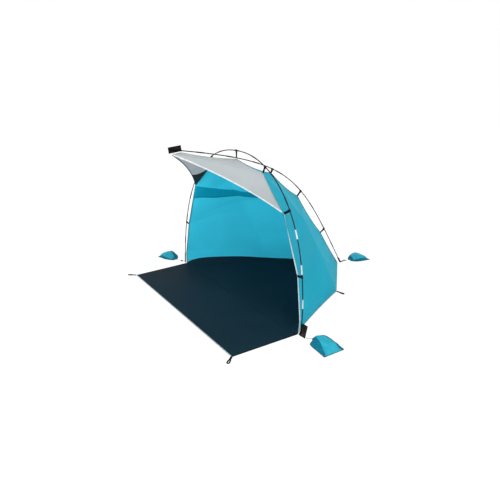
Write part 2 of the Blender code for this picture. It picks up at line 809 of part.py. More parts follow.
def pocket_frame(pole, at_start, inset, length, flap_way):
    # X is the web's width, and Z runs from the closed end along the pole
    end = pole.place(0.0 if at_start else pole.length)
    way = pole.way(length / 2) if at_start else -pole.way(pole.length - length / 2)
    return frame_matrix(end + way * (inset - pocket_floor), flap_way, way)


def build_pocket(name, place, length, outline, webbing):
    # A flat web with a round channel through it, closed at the pole's end
    body = add_object(name, outline_mesh(name, [outline], pocket_web), webbing)
    body.matrix_world = place @ Matrix.Rotation(math.radians(90), 4, "X")
    bore_radius = tube_radius + pocket_clearance
    channel = rod_object("channel_" + name, bore_radius + pocket_channel_wall, 0.0, length, 12)
    bore = rod_object("bore_" + name, bore_radius, pocket_floor - section_end_gap, length + cut_overrun, 12)
    for piece in (channel, bore):
        piece.matrix_world = place
    join(body, channel)
    cut(body, [bore])


def tip_outline(place, canopy):
    # The tip's web with a small tab that reaches down to the visor
    closed_low, closed_high, mouth_high, mouth_low = tilted_plate(pocket_length, tip_pocket_width,
                                                                   tip_pocket_below, tip_pocket_tilt)
    lift = fabric_thickness / 2 + 2 * strap_end_gap
    back = tip_tab_width / (visor_crest_y - visor_tip_y) / 4
    far, near = [place.inverted() @ canopy.visor(0.0, share) for share in (back / 2, back)]

    def edge(z):
        share = (z - closed_low[1]) / (mouth_low[1] - closed_low[1])
        return closed_low[0] + (mouth_low[0] - closed_low[0]) * share

    tab = [(edge(near.z), near.z), (near.x + lift, near.z), (far.x + lift, far.z), (edge(far.z), far.z)]
    return [closed_low, closed_high, mouth_high, mouth_low] + tab


def build_pockets(hoop, spine, insets, canopy, webbing):
    right, up = Vector((1.0, 0.0, 0.0)), Vector((0.0, 0.0, 1.0))
    foot = plain_plate(pocket_length, pocket_foot_in, pocket_foot_out, pocket_head_in, pocket_head_out)
    place = pocket_frame(hoop, True, insets[0], pocket_length, right)
    build_pocket("foot_pocket_right", place, pocket_length, foot, webbing)
    away = Vector((-math.cos(left_pocket_turn), math.sin(left_pocket_turn), 0.0))
    place = pocket_frame(hoop, False, insets[0], pocket_length, away)
    build_pocket("foot_pocket_left", place, pocket_length, foot, webbing)
    half = rear_pocket_half
    rear = plain_plate(rear_pocket_length, -half, half, -half, half)
    place = pocket_frame(spine, True, insets[1], rear_pocket_length, right)
    build_pocket("foot_pocket_rear", place, rear_pocket_length, rear, webbing)
    place = pocket_frame(spine, False, insets[1], pocket_length, up)
    build_pocket("tip_pocket", place, pocket_length, tip_outline(place, canopy), webbing)


def stadium(first_x, last_x, half_width, steps):
    # A slot outline with round ends along X
    points = []
    for centre, start in ((last_x - half_width, -90), (first_x + half_width, 90)):
        points += arc(centre, half_width, start, start + 180, steps)
    return points


def build_stake_loop(name, corner, angle, gap, webbing, tab_length=loop_tab_length, cut=0.0):
    # A flat webbing tab with a round-ended eye for a stake, lying on the ground
    start = gap
    eye_start = start + tab_length
    eye_end = eye_start + loop_eye_length
    half_tab, half_eye = loop_tab_width / 2, loop_eye_width / 2
    sewn_end = [(start, half_tab), (start, -half_tab)]
    if cut:
        sewn_end = [(start + cut, half_tab), (start, half_tab - cut), (start, cut - half_tab), (start + cut, -half_tab)]
    half_count = len(sewn_end) // 2
    outline = sewn_end[half_count:] + [(eye_start, -half_tab)]
    outline += arc(eye_end - half_eye, half_eye, -90, 90, 8)
    outline += [(eye_start, half_tab)] + sewn_end[:half_count]
    rim = (loop_eye_width - loop_hole_width) / 2
    hole = stadium(eye_end - rim - loop_hole_length, eye_end - rim, loop_hole_width / 2, 6)
    body = add_object(name, outline_mesh(name, [outline, hole], loop_thickness), webbing)
    lift = Vector((0.0, 0.0, loop_thickness / 2))
    body.matrix_world = Matrix.Translation(corner + lift) @ Matrix.Rotation(angle, 4, "Z")
    return body


def bag_ring(share):
    # Half width, crown height, edge height and underside of a sandbag at a share of its length
    table_shares = ((0.00, 0.19, 0.40, 0.20), (0.05, 0.40, 0.56, 0.30), (0.14, 0.68, 0.78, 0.60),
                    (0.28, 0.87, 0.95, 0.90), (0.42, 0.94, 1.00, 1.00), (0.60, 0.97, 0.86, 0.90),
                    (0.78, 0.99, 0.55, 0.70), (0.92, 1.00, 0.22, 0.45), (1.00, 1.00, 0.06, 0.30))
    for low, high in zip(table_shares, table_shares[1:]):
        if share <= high[0]:
            part = (share - low[0]) / (high[0] - low[0])
            return [a + (b - a) * part for a, b in zip(low[1:], high[1:])]
    return list(table_shares[-1][1:])


def build_sandbag(name, mouth, angle, cyan):
    # A pouch lofted from its drawn mouth to its flat end seam, flat underneath where it rests
    rings = [0.0, 0.05, 0.14, 0.28, 0.42, 0.60, 0.78, 0.92, 1.0]
    sides = 16
    bm = bmesh.new()
    loops = []
    for share in rings:
        width_share, crown_share, edge_share = bag_ring(share)
        half, crown, edge = width_share * bag_half_width, crown_share * bag_height, edge_share * bag_edge_height
        loop = []
        for side in range(sides):
            turn = math.tau * side / sides
            y = half * math.copysign(abs(math.cos(turn)) ** 0.85, math.cos(turn))
            rise = math.sin(turn)
            z = edge + (crown - edge) * rise ** 0.9 if rise > 1e-6 else edge * max(0.0, 1 + rise * 2.6)
            loop.append(bm.verts.new((share * bag_length, y, z)))
        loops.append(loop)
    for near, far in zip(loops, loops[1:]):
        for side in range(sides):
            after = (side + 1) % sides
            bm.faces.new((near[side], near[after], far[after], far[side]))
    bm.faces.new(loops[0])
    bm.faces.new(loops[-1])
    result = add_object(name, mesh_from_bmesh(name, bm), cyan)
    result.data.shade_smooth()
    result.matrix_world = Matrix.Translation(mouth) @ Matrix.Rotation(angle, 4, "Z")
    return result


def build_tether(name, start, mouth, way, cord):
    # A short cord from the pole's pocket to the sandbag's mouth, sagging between them; it meets the bag squarely
    steps = 12
    knot = mouth - way * tether_end_run
    points = []
    for step in range(steps + 1):
        share = step / steps
        point = start.lerp(knot, share)
        point.z = start.z + (mouth.z - start.z) * (1 - math.cos(math.pi * share)) / 2
        point.z -= tether_sag * math.sin(math.pi * share) ** 2
        points.append(point)
    points.append(mouth)
    curve = tube_curve(name, points, tether_radius, 2, tether_tip_share)
    return add_object(name, mesh_of_curve(name, curve), cord)


def build_bag_set(side, foot, pivot_way, offset, angle, cyan, cord):
    # The cord starts at the pivot beside the pocket and ends at the bag's drawn mouth
    way = Vector((math.cos(angle), math.sin(angle), 0.0))
    bag_mouth = Vector((foot.x + offset[0], foot.y + offset[1], 0.0))
    build_sandbag("sandbag_" + side, bag_mouth, angle, cyan)
    start = foot + pivot_way + Vector((0.0, 0.0, tether_height))
    end = bag_mouth - way * bag_mouth_gap + Vector((0.0, 0.0, bag_tie_height))
    build_tether("tether_" + side, start, end, way, cord)


def main():
    start_scene()
    cyan = material("canopy_cyan", (0.030, 0.440, 0.620), 0.60)
    teal = material("band_teal", (0.000, 0.230, 0.360), 0.65)
    grey = material("visor_grey", (0.560, 0.590, 0.610), 0.55)
    dark = material("gusset_grey", (0.080, 0.095, 0.100), 0.75)
    navy = material("floor_navy", (0.012, 0.030, 0.045), 0.60)
    webbing = material("webbing_black", (0.012, 0.012, 0.013), 0.75)
    plastic = material("clip_black", (0.010, 0.010, 0.011), 0.40)
    pole_black = material("pole_black", (0.016, 0.017, 0.020), 0.35)
    cord = material("cord_grey", (0.080, 0.065, 0.060), 0.80)

    hoop, spine = make_poles()
    canopy = Canopy(hoop, spine)
    hoop_inset = pocket_lift + pocket_floor
    spine_inset = hoop_inset + rear_pocket_lift + (tube_radius + pocket_clearance + pocket_channel_wall) * 2 / 3
    build_pole("hoop", hoop, hoop_section_count, hoop_node_section_count, hoop_inset, pole_black)
    build_pole("spine", spine, spine_section_count, spine_node_section_count, spine_inset, pole_black)
    build_shock_cord("hoop_shock_cord", hoop, hoop_inset, cord)
    build_shock_cord("spine_shock_cord", spine, spine_inset, cord)
    build_canopy(canopy, cyan, grey, dark, teal)
    build_floor(canopy, navy)
    build_clips(canopy, plastic, webbing)
    build_pockets(hoop, spine, (hoop_inset, spine_inset), canopy, webbing)

    front_right = Vector((extension_front_x, -extension_depth, 0.0))
    front_left = Vector((-extension_front_x, -extension_depth, 0.0))
    side_right = Vector((side_corner_x, side_corner_y, 0.0))
    side_left = Vector((-side_corner_x, side_corner_y, 0.0))
    rear = Vector((0.0, spine_foot_y, 0.0))
    build_stake_loop("stake_loop_front_right", front_right, math.radians(-50), section_end_gap, webbing)
    build_stake_loop("stake_loop_front_left", front_left, math.radians(230), section_end_gap, webbing)
    build_stake_loop("stake_loop_side_right", side_right, math.radians(8), loop_corner_gap, webbing,
                     cut=loop_corner_cut)
    build_stake_loop("stake_loop_side_left", side_left, math.radians(172), loop_corner_gap, webbing,
                     cut=loop_corner_cut)
    build_stake_loop("stake_loop_rear", rear, math.radians(100), rear_loop_gap, webbing, rear_loop_tab_length)

    channel = tube_radius + pocket_clearance + pocket_channel_wall + tether_gap
    slope = (pocket_head_out - pocket_foot_out) / pocket_length
    flap = pocket_foot_out + tether_height * slope + tether_gap
    right_foot, left_foot = Vector((hoop_half_span, 0.0, 0.0)), Vector((-hoop_half_span, 0.0, 0.0))
    rear_reach = channel / math.sin(spine_foot_angle) - tether_height / math.tan(spine_foot_angle)
    build_bag_set("right", right_foot, Vector((flap, 0.0, 0.0)), right_bag_offset, right_bag_angle, cyan, cord)
    build_bag_set("left", left_foot, Vector((-channel, 0.0, 0.0)), left_bag_offset, left_bag_angle, cyan, cord)
    build_bag_set("rear", rear, Vector((0.0, rear_reach, 0.0)), rear_bag_offset, rear_bag_angle, cyan, cord)


main()
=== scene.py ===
import math

import bmesh
import bpy
from mathutils import Matrix, Vector, noise


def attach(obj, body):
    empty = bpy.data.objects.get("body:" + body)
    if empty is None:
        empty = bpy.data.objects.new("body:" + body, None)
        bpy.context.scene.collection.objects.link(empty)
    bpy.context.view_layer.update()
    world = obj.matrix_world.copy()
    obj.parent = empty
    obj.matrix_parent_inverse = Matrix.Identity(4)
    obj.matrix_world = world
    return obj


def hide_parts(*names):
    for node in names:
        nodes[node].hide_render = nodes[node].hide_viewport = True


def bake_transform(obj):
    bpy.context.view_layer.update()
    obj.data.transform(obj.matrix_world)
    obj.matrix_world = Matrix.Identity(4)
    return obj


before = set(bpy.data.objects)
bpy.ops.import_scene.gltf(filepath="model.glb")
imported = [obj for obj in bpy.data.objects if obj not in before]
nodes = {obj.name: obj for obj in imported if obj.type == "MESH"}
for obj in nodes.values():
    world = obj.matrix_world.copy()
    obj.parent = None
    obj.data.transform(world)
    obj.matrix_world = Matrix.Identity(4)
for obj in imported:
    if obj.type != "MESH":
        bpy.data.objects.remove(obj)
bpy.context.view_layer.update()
scene = bpy.context.scene
print("CAD frame loaded")


# Shader groups

def newGroup(name, inputs, outputs):
    group = bpy.data.node_groups.new(name, "ShaderNodeTree")
    for socketName, value in inputs.items():
        socket = group.interface.new_socket(name=socketName, in_out="INPUT", socket_type="NodeSocketFloat")
        socket.default_value = value
    for socketName in outputs:
        group.interface.new_socket(name=socketName, in_out="OUTPUT", socket_type="NodeSocketFloat")
    return group, group.nodes.new("NodeGroupInput"), group.nodes.new("NodeGroupOutput")


def addNode(tree, kind, **settings):
    node = tree.nodes.new(kind)
    for key, value in settings.items():
        setattr(node, key, value)
    return node


def feed(tree, node, values):
    # each input takes a number, a colour or the output of another node
    for socketName, value in values.items():
        if isinstance(value, bpy.types.NodeSocket):
            tree.links.new(value, node.inputs[socketName])
        else:
            node.inputs[socketName].default_value = value


def mathNode(tree, operation, first, second=None, clamp=False):
    node = addNode(tree, "ShaderNodeMath", operation=operation, use_clamp=clamp)
    feed(tree, node, {0: first} if second is None else {0: first, 1: second})
    return node.outputs[0]


def rampNode(tree, source, low, high, lowValue=0.0, highValue=1.0):
    node = addNode(tree, "ShaderNodeMapRange", interpolation_type="SMOOTHSTEP")
    feed(tree, node, {"Value": source, "From Min": low, "From Max": high, "To Min": lowValue,
                      "To Max": highValue})
    return node.outputs["Result"]


def textureNode(tree, kind, places, inputs, **settings):
    node = addNode(tree, "ShaderNodeTex" + kind, **settings)
    feed(tree, node, {"Vector": places, **inputs})
    return node


def ownPlaces(tree):
    return addNode(tree, "ShaderNodeTexCoord").outputs["Object"]


def makeWeave():
    # crossed threads on the object's own axes, with a thicker thread at every step of a grid
    group, entry, leave = newGroup("clothWeave", {"Threads": 900.0, "Grid": 150.0}, ("Height", "Shade"))
    places = ownPlaces(group)
    mixed = None
    for direction in ("X", "Y", "Z"):
        wave = textureNode(group, "Wave", places, {"Scale": entry.outputs["Threads"], "Distortion": 0.6},
                           wave_type="BANDS", bands_direction=direction)
        mixed = wave.outputs["Fac"] if mixed is None else mathNode(group, "MULTIPLY", mixed,
                                                                   wave.outputs["Fac"])
    grid = textureNode(group, "Wave", places, {"Scale": entry.outputs["Grid"]}, wave_type="BANDS",
                       bands_direction="Z")
    rib = rampNode(group, grid.outputs["Fac"], 0.9, 1.0)
    height = mathNode(group, "ADD", mixed, mathNode(group, "MULTIPLY", rib, 0.6))
    feed(group, leave, {"Height": height, "Shade": mathNode(group, "MULTIPLY", height, 0.5, clamp=True)})
    return group


def makeCreases():
    # soft fold lines that a packed sheet keeps, and slow slackness
    group, entry, leave = newGroup("packCreases", {"Size": 3.0, "Slack": 1.6}, ("Height", "Tone"))
    places = ownPlaces(group)
    warp = textureNode(group, "Noise", places, {"Scale": entry.outputs["Slack"], "Detail": 3.0})
    cells = textureNode(group, "Voronoi", places, {"Scale": entry.outputs["Size"]},
                        feature="DISTANCE_TO_EDGE")
    line = rampNode(group, cells.outputs["Distance"], 0.0, 0.03, 1.0, 0.0)
    height = mathNode(group, "ADD", warp.outputs["Fac"], mathNode(group, "MULTIPLY", line, 0.05))
    feed(group, leave, {"Height": height, "Tone": warp.outputs["Fac"]})
    return group


def makeSandDust():
    # pale dust that gathers near the ground
    group, entry, leave = newGroup("sandDust", {"Top": 0.12, "Amount": 0.25}, ("Mask",))
    places = addNode(group, "ShaderNodeNewGeometry").outputs["Position"]
    split = addNode(group, "ShaderNodeSeparateXYZ")
    feed(group, split, {0: places})
    height = mathNode(group, "DIVIDE", split.outputs["Z"], entry.outputs["Top"])
    fall = mathNode(group, "SUBTRACT", 1.0, height, clamp=True)
    speck = textureNode(group, "Noise", places, {"Scale": 60.0, "Detail": 5.0})
    patch = rampNode(group, speck.outputs["Fac"], 0.42, 0.72)
    mask = mathNode(group, "MULTIPLY", mathNode(group, "MULTIPLY", fall, patch), entry.outputs["Amount"])
    feed(group, leave, {"Mask": mask})
    return group


def makeStitches():
    # two dashed thread rows near the long edges of a tape; its UV is in metres, u along and v across
    group, entry, leave = newGroup("threadRows", {"Half": 0.010, "Inset": 0.003, "Pitch": 0.004}, ("Mask",))
    threadHalf, dashShare = 0.0005, 0.68
    split = addNode(group, "ShaderNodeSeparateXYZ")
    feed(group, split, {0: addNode(group, "ShaderNodeUVMap").outputs["UV"]})
    reach = mathNode(group, "ABSOLUTE", split.outputs["Y"])
    row = mathNode(group, "SUBTRACT", entry.outputs["Half"], entry.outputs["Inset"])
    away = mathNode(group, "ABSOLUTE", mathNode(group, "SUBTRACT", reach, row))
    inRow = mathNode(group, "LESS_THAN", away, threadHalf)
    beat = mathNode(group, "FRACT", mathNode(group, "DIVIDE", split.outputs["X"], entry.outputs["Pitch"]))
    dash = mathNode(group, "LESS_THAN", beat, dashShare)
    feed(group, leave, {"Mask": mathNode(group, "MULTIPLY", inRow, dash)})
    return group


def makeWebbing():
    # the slanted ribs of woven strap
    group, entry, leave = newGroup("strapRibs", {"Ribs": 260.0}, ("Height", "Tone"))
    places = ownPlaces(group)
    ribs, cross = [textureNode(group, "Wave", places, {"Scale": entry.outputs["Ribs"], "Distortion": 0.4},
                               wave_type="BANDS", bands_direction=direction) for direction in ("DIAGONAL",
                                                                                               "Z")]
    fuzz = textureNode(group, "Noise", places, {"Scale": 40.0})
    height = mathNode(group, "MULTIPLY", ribs.outputs["Fac"], cross.outputs["Fac"])
    feed(group, leave, {"Height": height, "Tone": fuzz.outputs["Fac"]})
    return group


def makeScuffs():
    # fine scratches and rubbed spots on hard pieces
    group, entry, leave = newGroup("scuffs", {"Scale": 90.0, "Amount": 0.5}, ("Mask", "Grain"))
    grain = textureNode(group, "Noise", ownPlaces(group), {"Scale": entry.outputs["Scale"], "Detail": 6.0})
    spot = rampNode(group, grain.outputs["Fac"], 0.55, 0.75)
    mask = mathNode(group, "MULTIPLY", spot, entry.outputs["Amount"])
    feed(group, leave, {"Mask": mask, "Grain": grain.outputs["Fac"]})
    return group


weaveGroup, creaseGroup, dustGroup = makeWeave(), makeCreases(), makeSandDust()
stitchGroup, webbingGroup, scuffGroup = makeStitches(), makeWebbing(), makeScuffs()
sandColour = (0.55, 0.47, 0.36)


def useGroup(tree, group, **values):
    node = addNode(tree, "ShaderNodeGroup", node_tree=group)
    feed(tree, node, values)
    return node


def colourMix(tree, factor, first, second):
    node = addNode(tree, "ShaderNodeMix", data_type="RGBA")
    first, second = [(*value, 1.0) if isinstance(value, tuple) else value for value in (first, second)]
    feed(tree, node, {0: factor, 6: first, 7: second})
    return node.outputs[2]


def shaded(colour, factor, lift=0.0):
    return tuple(min(channel * factor + lift, 1.0) for channel in colour)


def startMaterial(name):
    material = bpy.data.materials.new(name)
    material.use_nodes = True
    return material, material.node_tree, material.node_tree.nodes["Principled BSDF"]


def bumpInto(tree, shader, height, strength, distance, under=None):
    bump = addNode(tree, "ShaderNodeBump")
    feed(tree, bump, {"Strength": strength, "Distance": distance, "Height": height})
    if under is not None:
        feed(tree, bump, {"Normal": under})
    feed(tree, shader, {"Normal": bump.outputs["Normal"]})
    return bump.outputs["Normal"]


plainCloth = {"threads": 900.0, "grid": 150.0, "threadTone": 0.10, "threadLight": 1.25, "weaveStrength": 0.25,
              "weaveDepth": 0.0004, "creaseSize": 3.0, "slack": 1.6, "creaseStrength": 0.35,
              "creaseDepth": 0.010,
              "toneDepth": 0.10, "dust": 0.2, "dustTop": 0.12, "roughnessSpread": 0.05, "sheen": 0.04,
              "specular": 0.14, "through": 0.0, "glow": 0.0}


def clothMaterial(name, chosen):
    look = {**plainCloth, **chosen}
    material, tree, shader = startMaterial(name)
    weave = useGroup(tree, weaveGroup, Threads=look["threads"], Grid=look["grid"])
    crease = useGroup(tree, creaseGroup, Size=look["creaseSize"], Slack=look["slack"])
    dust = useGroup(tree, dustGroup, Top=look["dustTop"], Amount=look["dust"])
    dark, light = [shaded(look["colour"], 1 + sign * look["toneDepth"]) for sign in (-1, 1)]
    tone = colourMix(tree, rampNode(tree, crease.outputs["Tone"], 0.35, 0.65), dark, light)
    threads = colourMix(tree, mathNode(tree, "MULTIPLY", weave.outputs["Shade"], look["threadTone"]), tone,
                        shaded(look["colour"], look["threadLight"]))
    dusty = colourMix(tree, dust.outputs["Mask"], threads, sandColour)
    rough = rampNode(tree, crease.outputs["Tone"], 0.3, 0.7, look["roughness"] - look["roughnessSpread"],
                     look["roughness"] + look["roughnessSpread"])
    feed(tree, shader, {"Base Color": dusty, "Roughness": rough, "Specular IOR Level": look["specular"],
                        "Sheen Weight": look["sheen"], "Sheen Roughness": 0.4, "Sheen Tint": (*light, 1.0)})
    # daylight that passes through thin cloth
    feed(tree, shader, {"Subsurface Weight": look["through"], "Subsurface Radius": (1.0, 1.0, 1.0),
                        "Subsurface Scale": 0.004})
    # painted light: the cloth glows in its own colour, standing for daylight shining through it
    if look["glow"]:
        feed(tree, shader, {"Emission Color": dusty, "Emission Strength": look["glow"]})
    slow = bumpInto(tree, shader, crease.outputs["Height"], look["creaseStrength"], look["creaseDepth"])
    bumpInto(tree, shader, weave.outputs["Height"], look["weaveStrength"], look["weaveDepth"], slow)
    return material


plainTape = {"inset": 0.003, "pitch": 0.004, "ribs": 260.0, "dust": 0.25, "dustTop": 0.06, "roughness": 0.72,
             "specular": 0.12, "toneDepth": 0.12, "ribTone": 0.22, "ribLight": 1.4, "bumpDepth": 0.0005}


def tapeMaterial(name, chosen):
    look = {**plainTape, **chosen}
    material, tree, shader = startMaterial(name)
    rows = useGroup(tree, stitchGroup, Half=look["width"] / 2, Inset=look["inset"], Pitch=look["pitch"])
    ribs = useGroup(tree, webbingGroup, Ribs=look["ribs"])
    dust = useGroup(tree, dustGroup, Top=look["dustTop"], Amount=look["dust"])
    dark, light = [shaded(look["colour"], 1 + sign * look["toneDepth"]) for sign in (-1, 1)]
    tone = colourMix(tree, rampNode(tree, ribs.outputs["Tone"], 0.35, 0.65), dark, light)
    ribbed = colourMix(tree, mathNode(tree, "MULTIPLY", ribs.outputs["Height"], look["ribTone"]), tone,
                       shaded(look["colour"], look["ribLight"], 0.002))
    sewn = colourMix(tree, rows.outputs["Mask"], ribbed, look["thread"])
    feed(tree, shader, {"Base Color": colourMix(tree, dust.outputs["Mask"], sewn, sandColour),
                        "Roughness": look["roughness"], "Specular IOR Level": look["specular"]})
    height = mathNode(tree, "ADD", mathNode(tree, "MULTIPLY", ribs.outputs["Height"], 0.4),
                      rows.outputs["Mask"])
    bumpInto(tree, shader, height, 0.5, look["bumpDepth"])
    return material


plainHard = {"grain": 90.0, "wear": 0.3, "metallic": 0.0, "specular": 0.5, "bumpStrength": 0.15,
             "bumpDepth": 0.0004}


def hardMaterial(name, chosen):
    look = {**plainHard, **chosen}
    material, tree, shader = startMaterial(name)
    scuff = useGroup(tree, scuffGroup, Scale=look["grain"], Amount=look["wear"])
    rough = rampNode(tree, scuff.outputs["Grain"], 0.3, 0.7, look["roughness"] - 0.07,
                     look["roughness"] + 0.1)
    feed(tree, shader, {"Base Color": colourMix(tree, scuff.outputs["Mask"], look["colour"], look["worn"]),
                        "Roughness": rough, "Metallic": look["metallic"],
                        "Specular IOR Level": look["specular"]})
    bumpInto(tree, shader, scuff.outputs["Grain"], look["bumpStrength"], look["bumpDepth"])
    return material


wallLook = {"specular": 0.07, "sheen": 0.0, "creaseSize": 2.6, "slack": 1.5, "toneDepth": 0.05,
            "through": 0.5}
canopyLook = {**wallLook, "colour": (0.012, 0.365, 0.505), "roughness": 0.62, "dust": 0.15, "dustTop": 0.06}
# painted light: the canopy's inner face is a brighter copy of its cloth and glows, standing for daylight shining
# through it
insidePaintedLightLook = {**wallLook, "colour": (0.034, 0.53, 0.715), "roughness": 0.66, "dust": 0.0, "glow": 0.20}
smoothLook = {"slack": 2.0, "toneDepth": 0.04, "dust": 0.0}
visorLook = {**smoothLook, "colour": (0.43, 0.465, 0.475), "roughness": 0.45, "through": 0.5}
# painted light: the visor's underside is lighter than its top and glows, standing for daylight shining through
# it
visorUnderPaintedLightLook = {**smoothLook, "colour": (0.54, 0.53, 0.53), "roughness": 0.60, "through": 0.5,
                   "glow": 0.18}
# painted light: the band glows a little, standing for daylight shining through it
bandLook = {**smoothLook, "colour": (0.002, 0.305, 0.46), "roughness": 0.70, "specular": 0.06, "sheen": 0.0,
            "glow": 0.10}
gussetLook = {"colour": (0.042, 0.046, 0.044), "roughness": 0.70, "slack": 3.0, "toneDepth": 0.08,
              "dust": 0.0}
floorLook = {"colour": (0.0065, 0.022, 0.034), "roughness": 0.66, "sheen": 0.0, "specular": 0.06,
             "creaseSize": 3.2, "slack": 1.2, "toneDepth": 0.16, "dust": 0.0, "creaseStrength": 0.30,
             "creaseDepth": 0.006}
# painted shade: a darker copy of the sandbag cloth, laid on the bag's steep sides, underside and mouth where
# shade falls
bagPaintedShadeLook = {"colour": (0.001, 0.163, 0.26), "roughness": 0.70, "slack": 3.0, "dust": 0.05,
               "specular": 0.06,
               "sheen": 0.0}
bagLook = {"colour": (0.022, 0.40, 0.54), "roughness": 0.50, "creaseSize": 18.0, "slack": 12.0, "dust": 0.12,
           "dustTop": 0.02, "creaseStrength": 0.5, "creaseDepth": 0.004}

canopyCloth = clothMaterial("canopyCyan", canopyLook)
insidePaintedLightCloth = clothMaterial("canopyInside", insidePaintedLightLook)
visorCloth = clothMaterial("visorSilver", visorLook)
visorUnder = clothMaterial("visorUnderside", visorUnderPaintedLightLook)
bandCloth = clothMaterial("bandTeal", bandLook)
gussetCloth = clothMaterial("gussetGrey", gussetLook)
floorCloth = clothMaterial("groundsheet", floorLook)
bagSideCloth = clothMaterial("bagSideCloth", bagPaintedShadeLook)
bagCloth = clothMaterial("sandbagCloth", bagLook)
hemWhite = tapeMaterial("hemWhite",
                        {"colour": (0.68, 0.76, 0.79), "thread": (0.75, 0.80, 0.82), "width": 0.022})
hemSilver = tapeMaterial("hemSilver",
                         {"colour": (0.70, 0.76, 0.78), "thread": (0.76, 0.80, 0.82), "width": 0.014})
hemTeal = tapeMaterial("hemTeal",
                       {"colour": (0.008, 0.085, 0.115), "thread": (0.02, 0.15, 0.20), "width": 0.008})
hemFloor = tapeMaterial("hemFloor",
                        {"colour": (0.42, 0.47, 0.49), "thread": (0.5, 0.52, 0.53), "width": 0.012})
hemDark = tapeMaterial("hemDark", {"colour": (0.002, 0.004, 0.006), "thread": (0.008, 0.012, 0.016),
                                   "width": 0.012, "dust": 0.0, "specular": 0.04})
bottomTape = tapeMaterial("bottomTape", {"colour": (0.075, 0.29, 0.34), "thread": (0.10, 0.36, 0.42),
                                         "width": 0.014})
visorSeam = tapeMaterial("visorSeam", {"colour": (0.44, 0.47, 0.48), "thread": (0.55, 0.58, 0.59),
                                       "width": 0.010})
seamCyan = tapeMaterial("seamCyan",
                        {"colour": (0.018, 0.34, 0.45), "thread": (0.04, 0.45, 0.58), "width": 0.012})
bindingTeal = tapeMaterial("bindingTeal", {"colour": (0.003, 0.095, 0.125), "thread": (0.01, 0.16, 0.21),
                                           "width": 0.010})
strapBlack = tapeMaterial("webbingBlack", {"colour": (0.003, 0.003, 0.004), "thread": (0.02, 0.02, 0.022),
                                           "width": 0.022, "dust": 0.02, "specular": 0.06})
pocketBlack = tapeMaterial("pocketWebbing", {"colour": (0.013, 0.008, 0.009), "thread": (0.07, 0.06, 0.06),
                                             "width": 0.060, "inset": 0.004, "ribs": 200.0})
cordGrey = tapeMaterial("tetherCord", {"colour": (0.085, 0.070, 0.065), "thread": (0.12, 0.10, 0.10),
                                       "width": 0.5, "ribs": 420.0})
clipPlastic = hardMaterial("clipNylon", {"colour": (0.003, 0.003, 0.0035), "worn": (0.016, 0.016, 0.017),
                                         "roughness": 0.50, "grain": 220.0, "wear": 0.25, "specular": 0.2})
poleFibre = hardMaterial("poleFibreglass", {"colour": (0.003, 0.005, 0.007), "worn": (0.012, 0.014, 0.017),
                                            "roughness": 0.48, "grain": 60.0, "wear": 0.25, "specular": 0.2})
# painted highlight and shade: the same metal sleeves are bright where they catch a glint and painted near black
# elsewhere
ferruleGlint = hardMaterial("ferruleAluminium", {"colour": (0.66, 0.70, 0.72), "worn": (0.50, 0.52, 0.53),
                                                 "roughness": 0.38, "metallic": 0.7, "grain": 120.0,
                                                 "wear": 0.4})
ferruleDark = hardMaterial("ferruleLacquered", {"colour": (0.010, 0.011, 0.012), "worn": (0.06, 0.06, 0.062),
                                                "roughness": 0.42, "grain": 120.0, "specular": 0.2})
print("materials ready")


# Shared shapes

tent = {"halfSpan": 1.100, "height": 1.466, "sidePower": 2.18, "topPower": 2.455, "lean": 0.047,
        "spineFootY": 1.600, "spineTipY": -0.638, "spineTipZ": 1.5175, "spineFootAngle": math.radians(57.5),
        "spineTipAngle": math.radians(7.46), "spineFootPull": 1.321, "spineTipPull": 1.460,
        "tubeRadius": 0.00475, "ferruleRadius": 0.0061, "ferruleHalf": 0.040}
# a small step for reading a direction off a line or a surface, and the distance at which corners are welded
probe, weld = 0.004, 0.00001


def hoopPoint(angle):
    across, up = math.cos(angle), max(math.sin(angle), 0.0)
    x = math.copysign(tent["halfSpan"] * abs(across) ** (2 / tent["sidePower"]), across)
    z = tent["height"] * up ** (2 / tent["topPower"])
    return Vector((x, tent["lean"] * z, z))


def spinePoint(share):
    foot = Vector((0, tent["spineFootY"], 0))
    tip = Vector((0, tent["spineTipY"], tent["spineTipZ"]))
    footWay = Vector((0, -math.cos(tent["spineFootAngle"]), math.sin(tent["spineFootAngle"])))
    tipWay = Vector((0, math.cos(tent["spineTipAngle"]), -math.sin(tent["spineTipAngle"])))
    second, third = foot + footWay * tent["spineFootPull"], tip + tipWay * tent["spineTipPull"]
    rest = 1 - share
    return foot * rest ** 3 + second * 3 * rest * rest * share + third * 3 * rest * share ** 2 + tip * share ** 3


class Route:
    # a smooth line that can be asked for its place and direction at a distance
    def __init__(self, pointAt, last, sideWay):
        steps = 1600
        self.points = [pointAt(last * step / steps) for step in range(steps + 1)]
        self.lengths = [0.0]
        for start, end in zip(self.points, self.points[1:]):
            self.lengths.append(self.lengths[-1] + (end - start).length)
        self.length = self.lengths[-1]
        self.sideWay = sideWay.normalized()

    def at(self, distance):
        low, high = 0, len(self.lengths) - 1
        while high - low > 1:
            middle = (low + high) // 2
            low, high = (middle, high) if self.lengths[middle] <= distance else (low, middle)
        run = self.lengths[high] - self.lengths[low]
        return self.points[low].lerp(self.points[high], (distance - self.lengths[low]) / run)

    def way(self, distance):
        low, high = max(distance - probe, 0.0), min(distance + probe, self.length)
        return (self.at(high) - self.at(low)).normalized()

    def frame(self, distance):
        # the place, the direction, and the direction square to it and to the side
        way, centre = self.way(distance), self.at(distance)
        return centre, way, self.sideWay.cross(way).normalized()


hoop = Route(hoopPoint, math.pi, Vector((0, -1, tent["lean"])))
spine = Route(spinePoint, 1.0, Vector((1, 0, 0)))


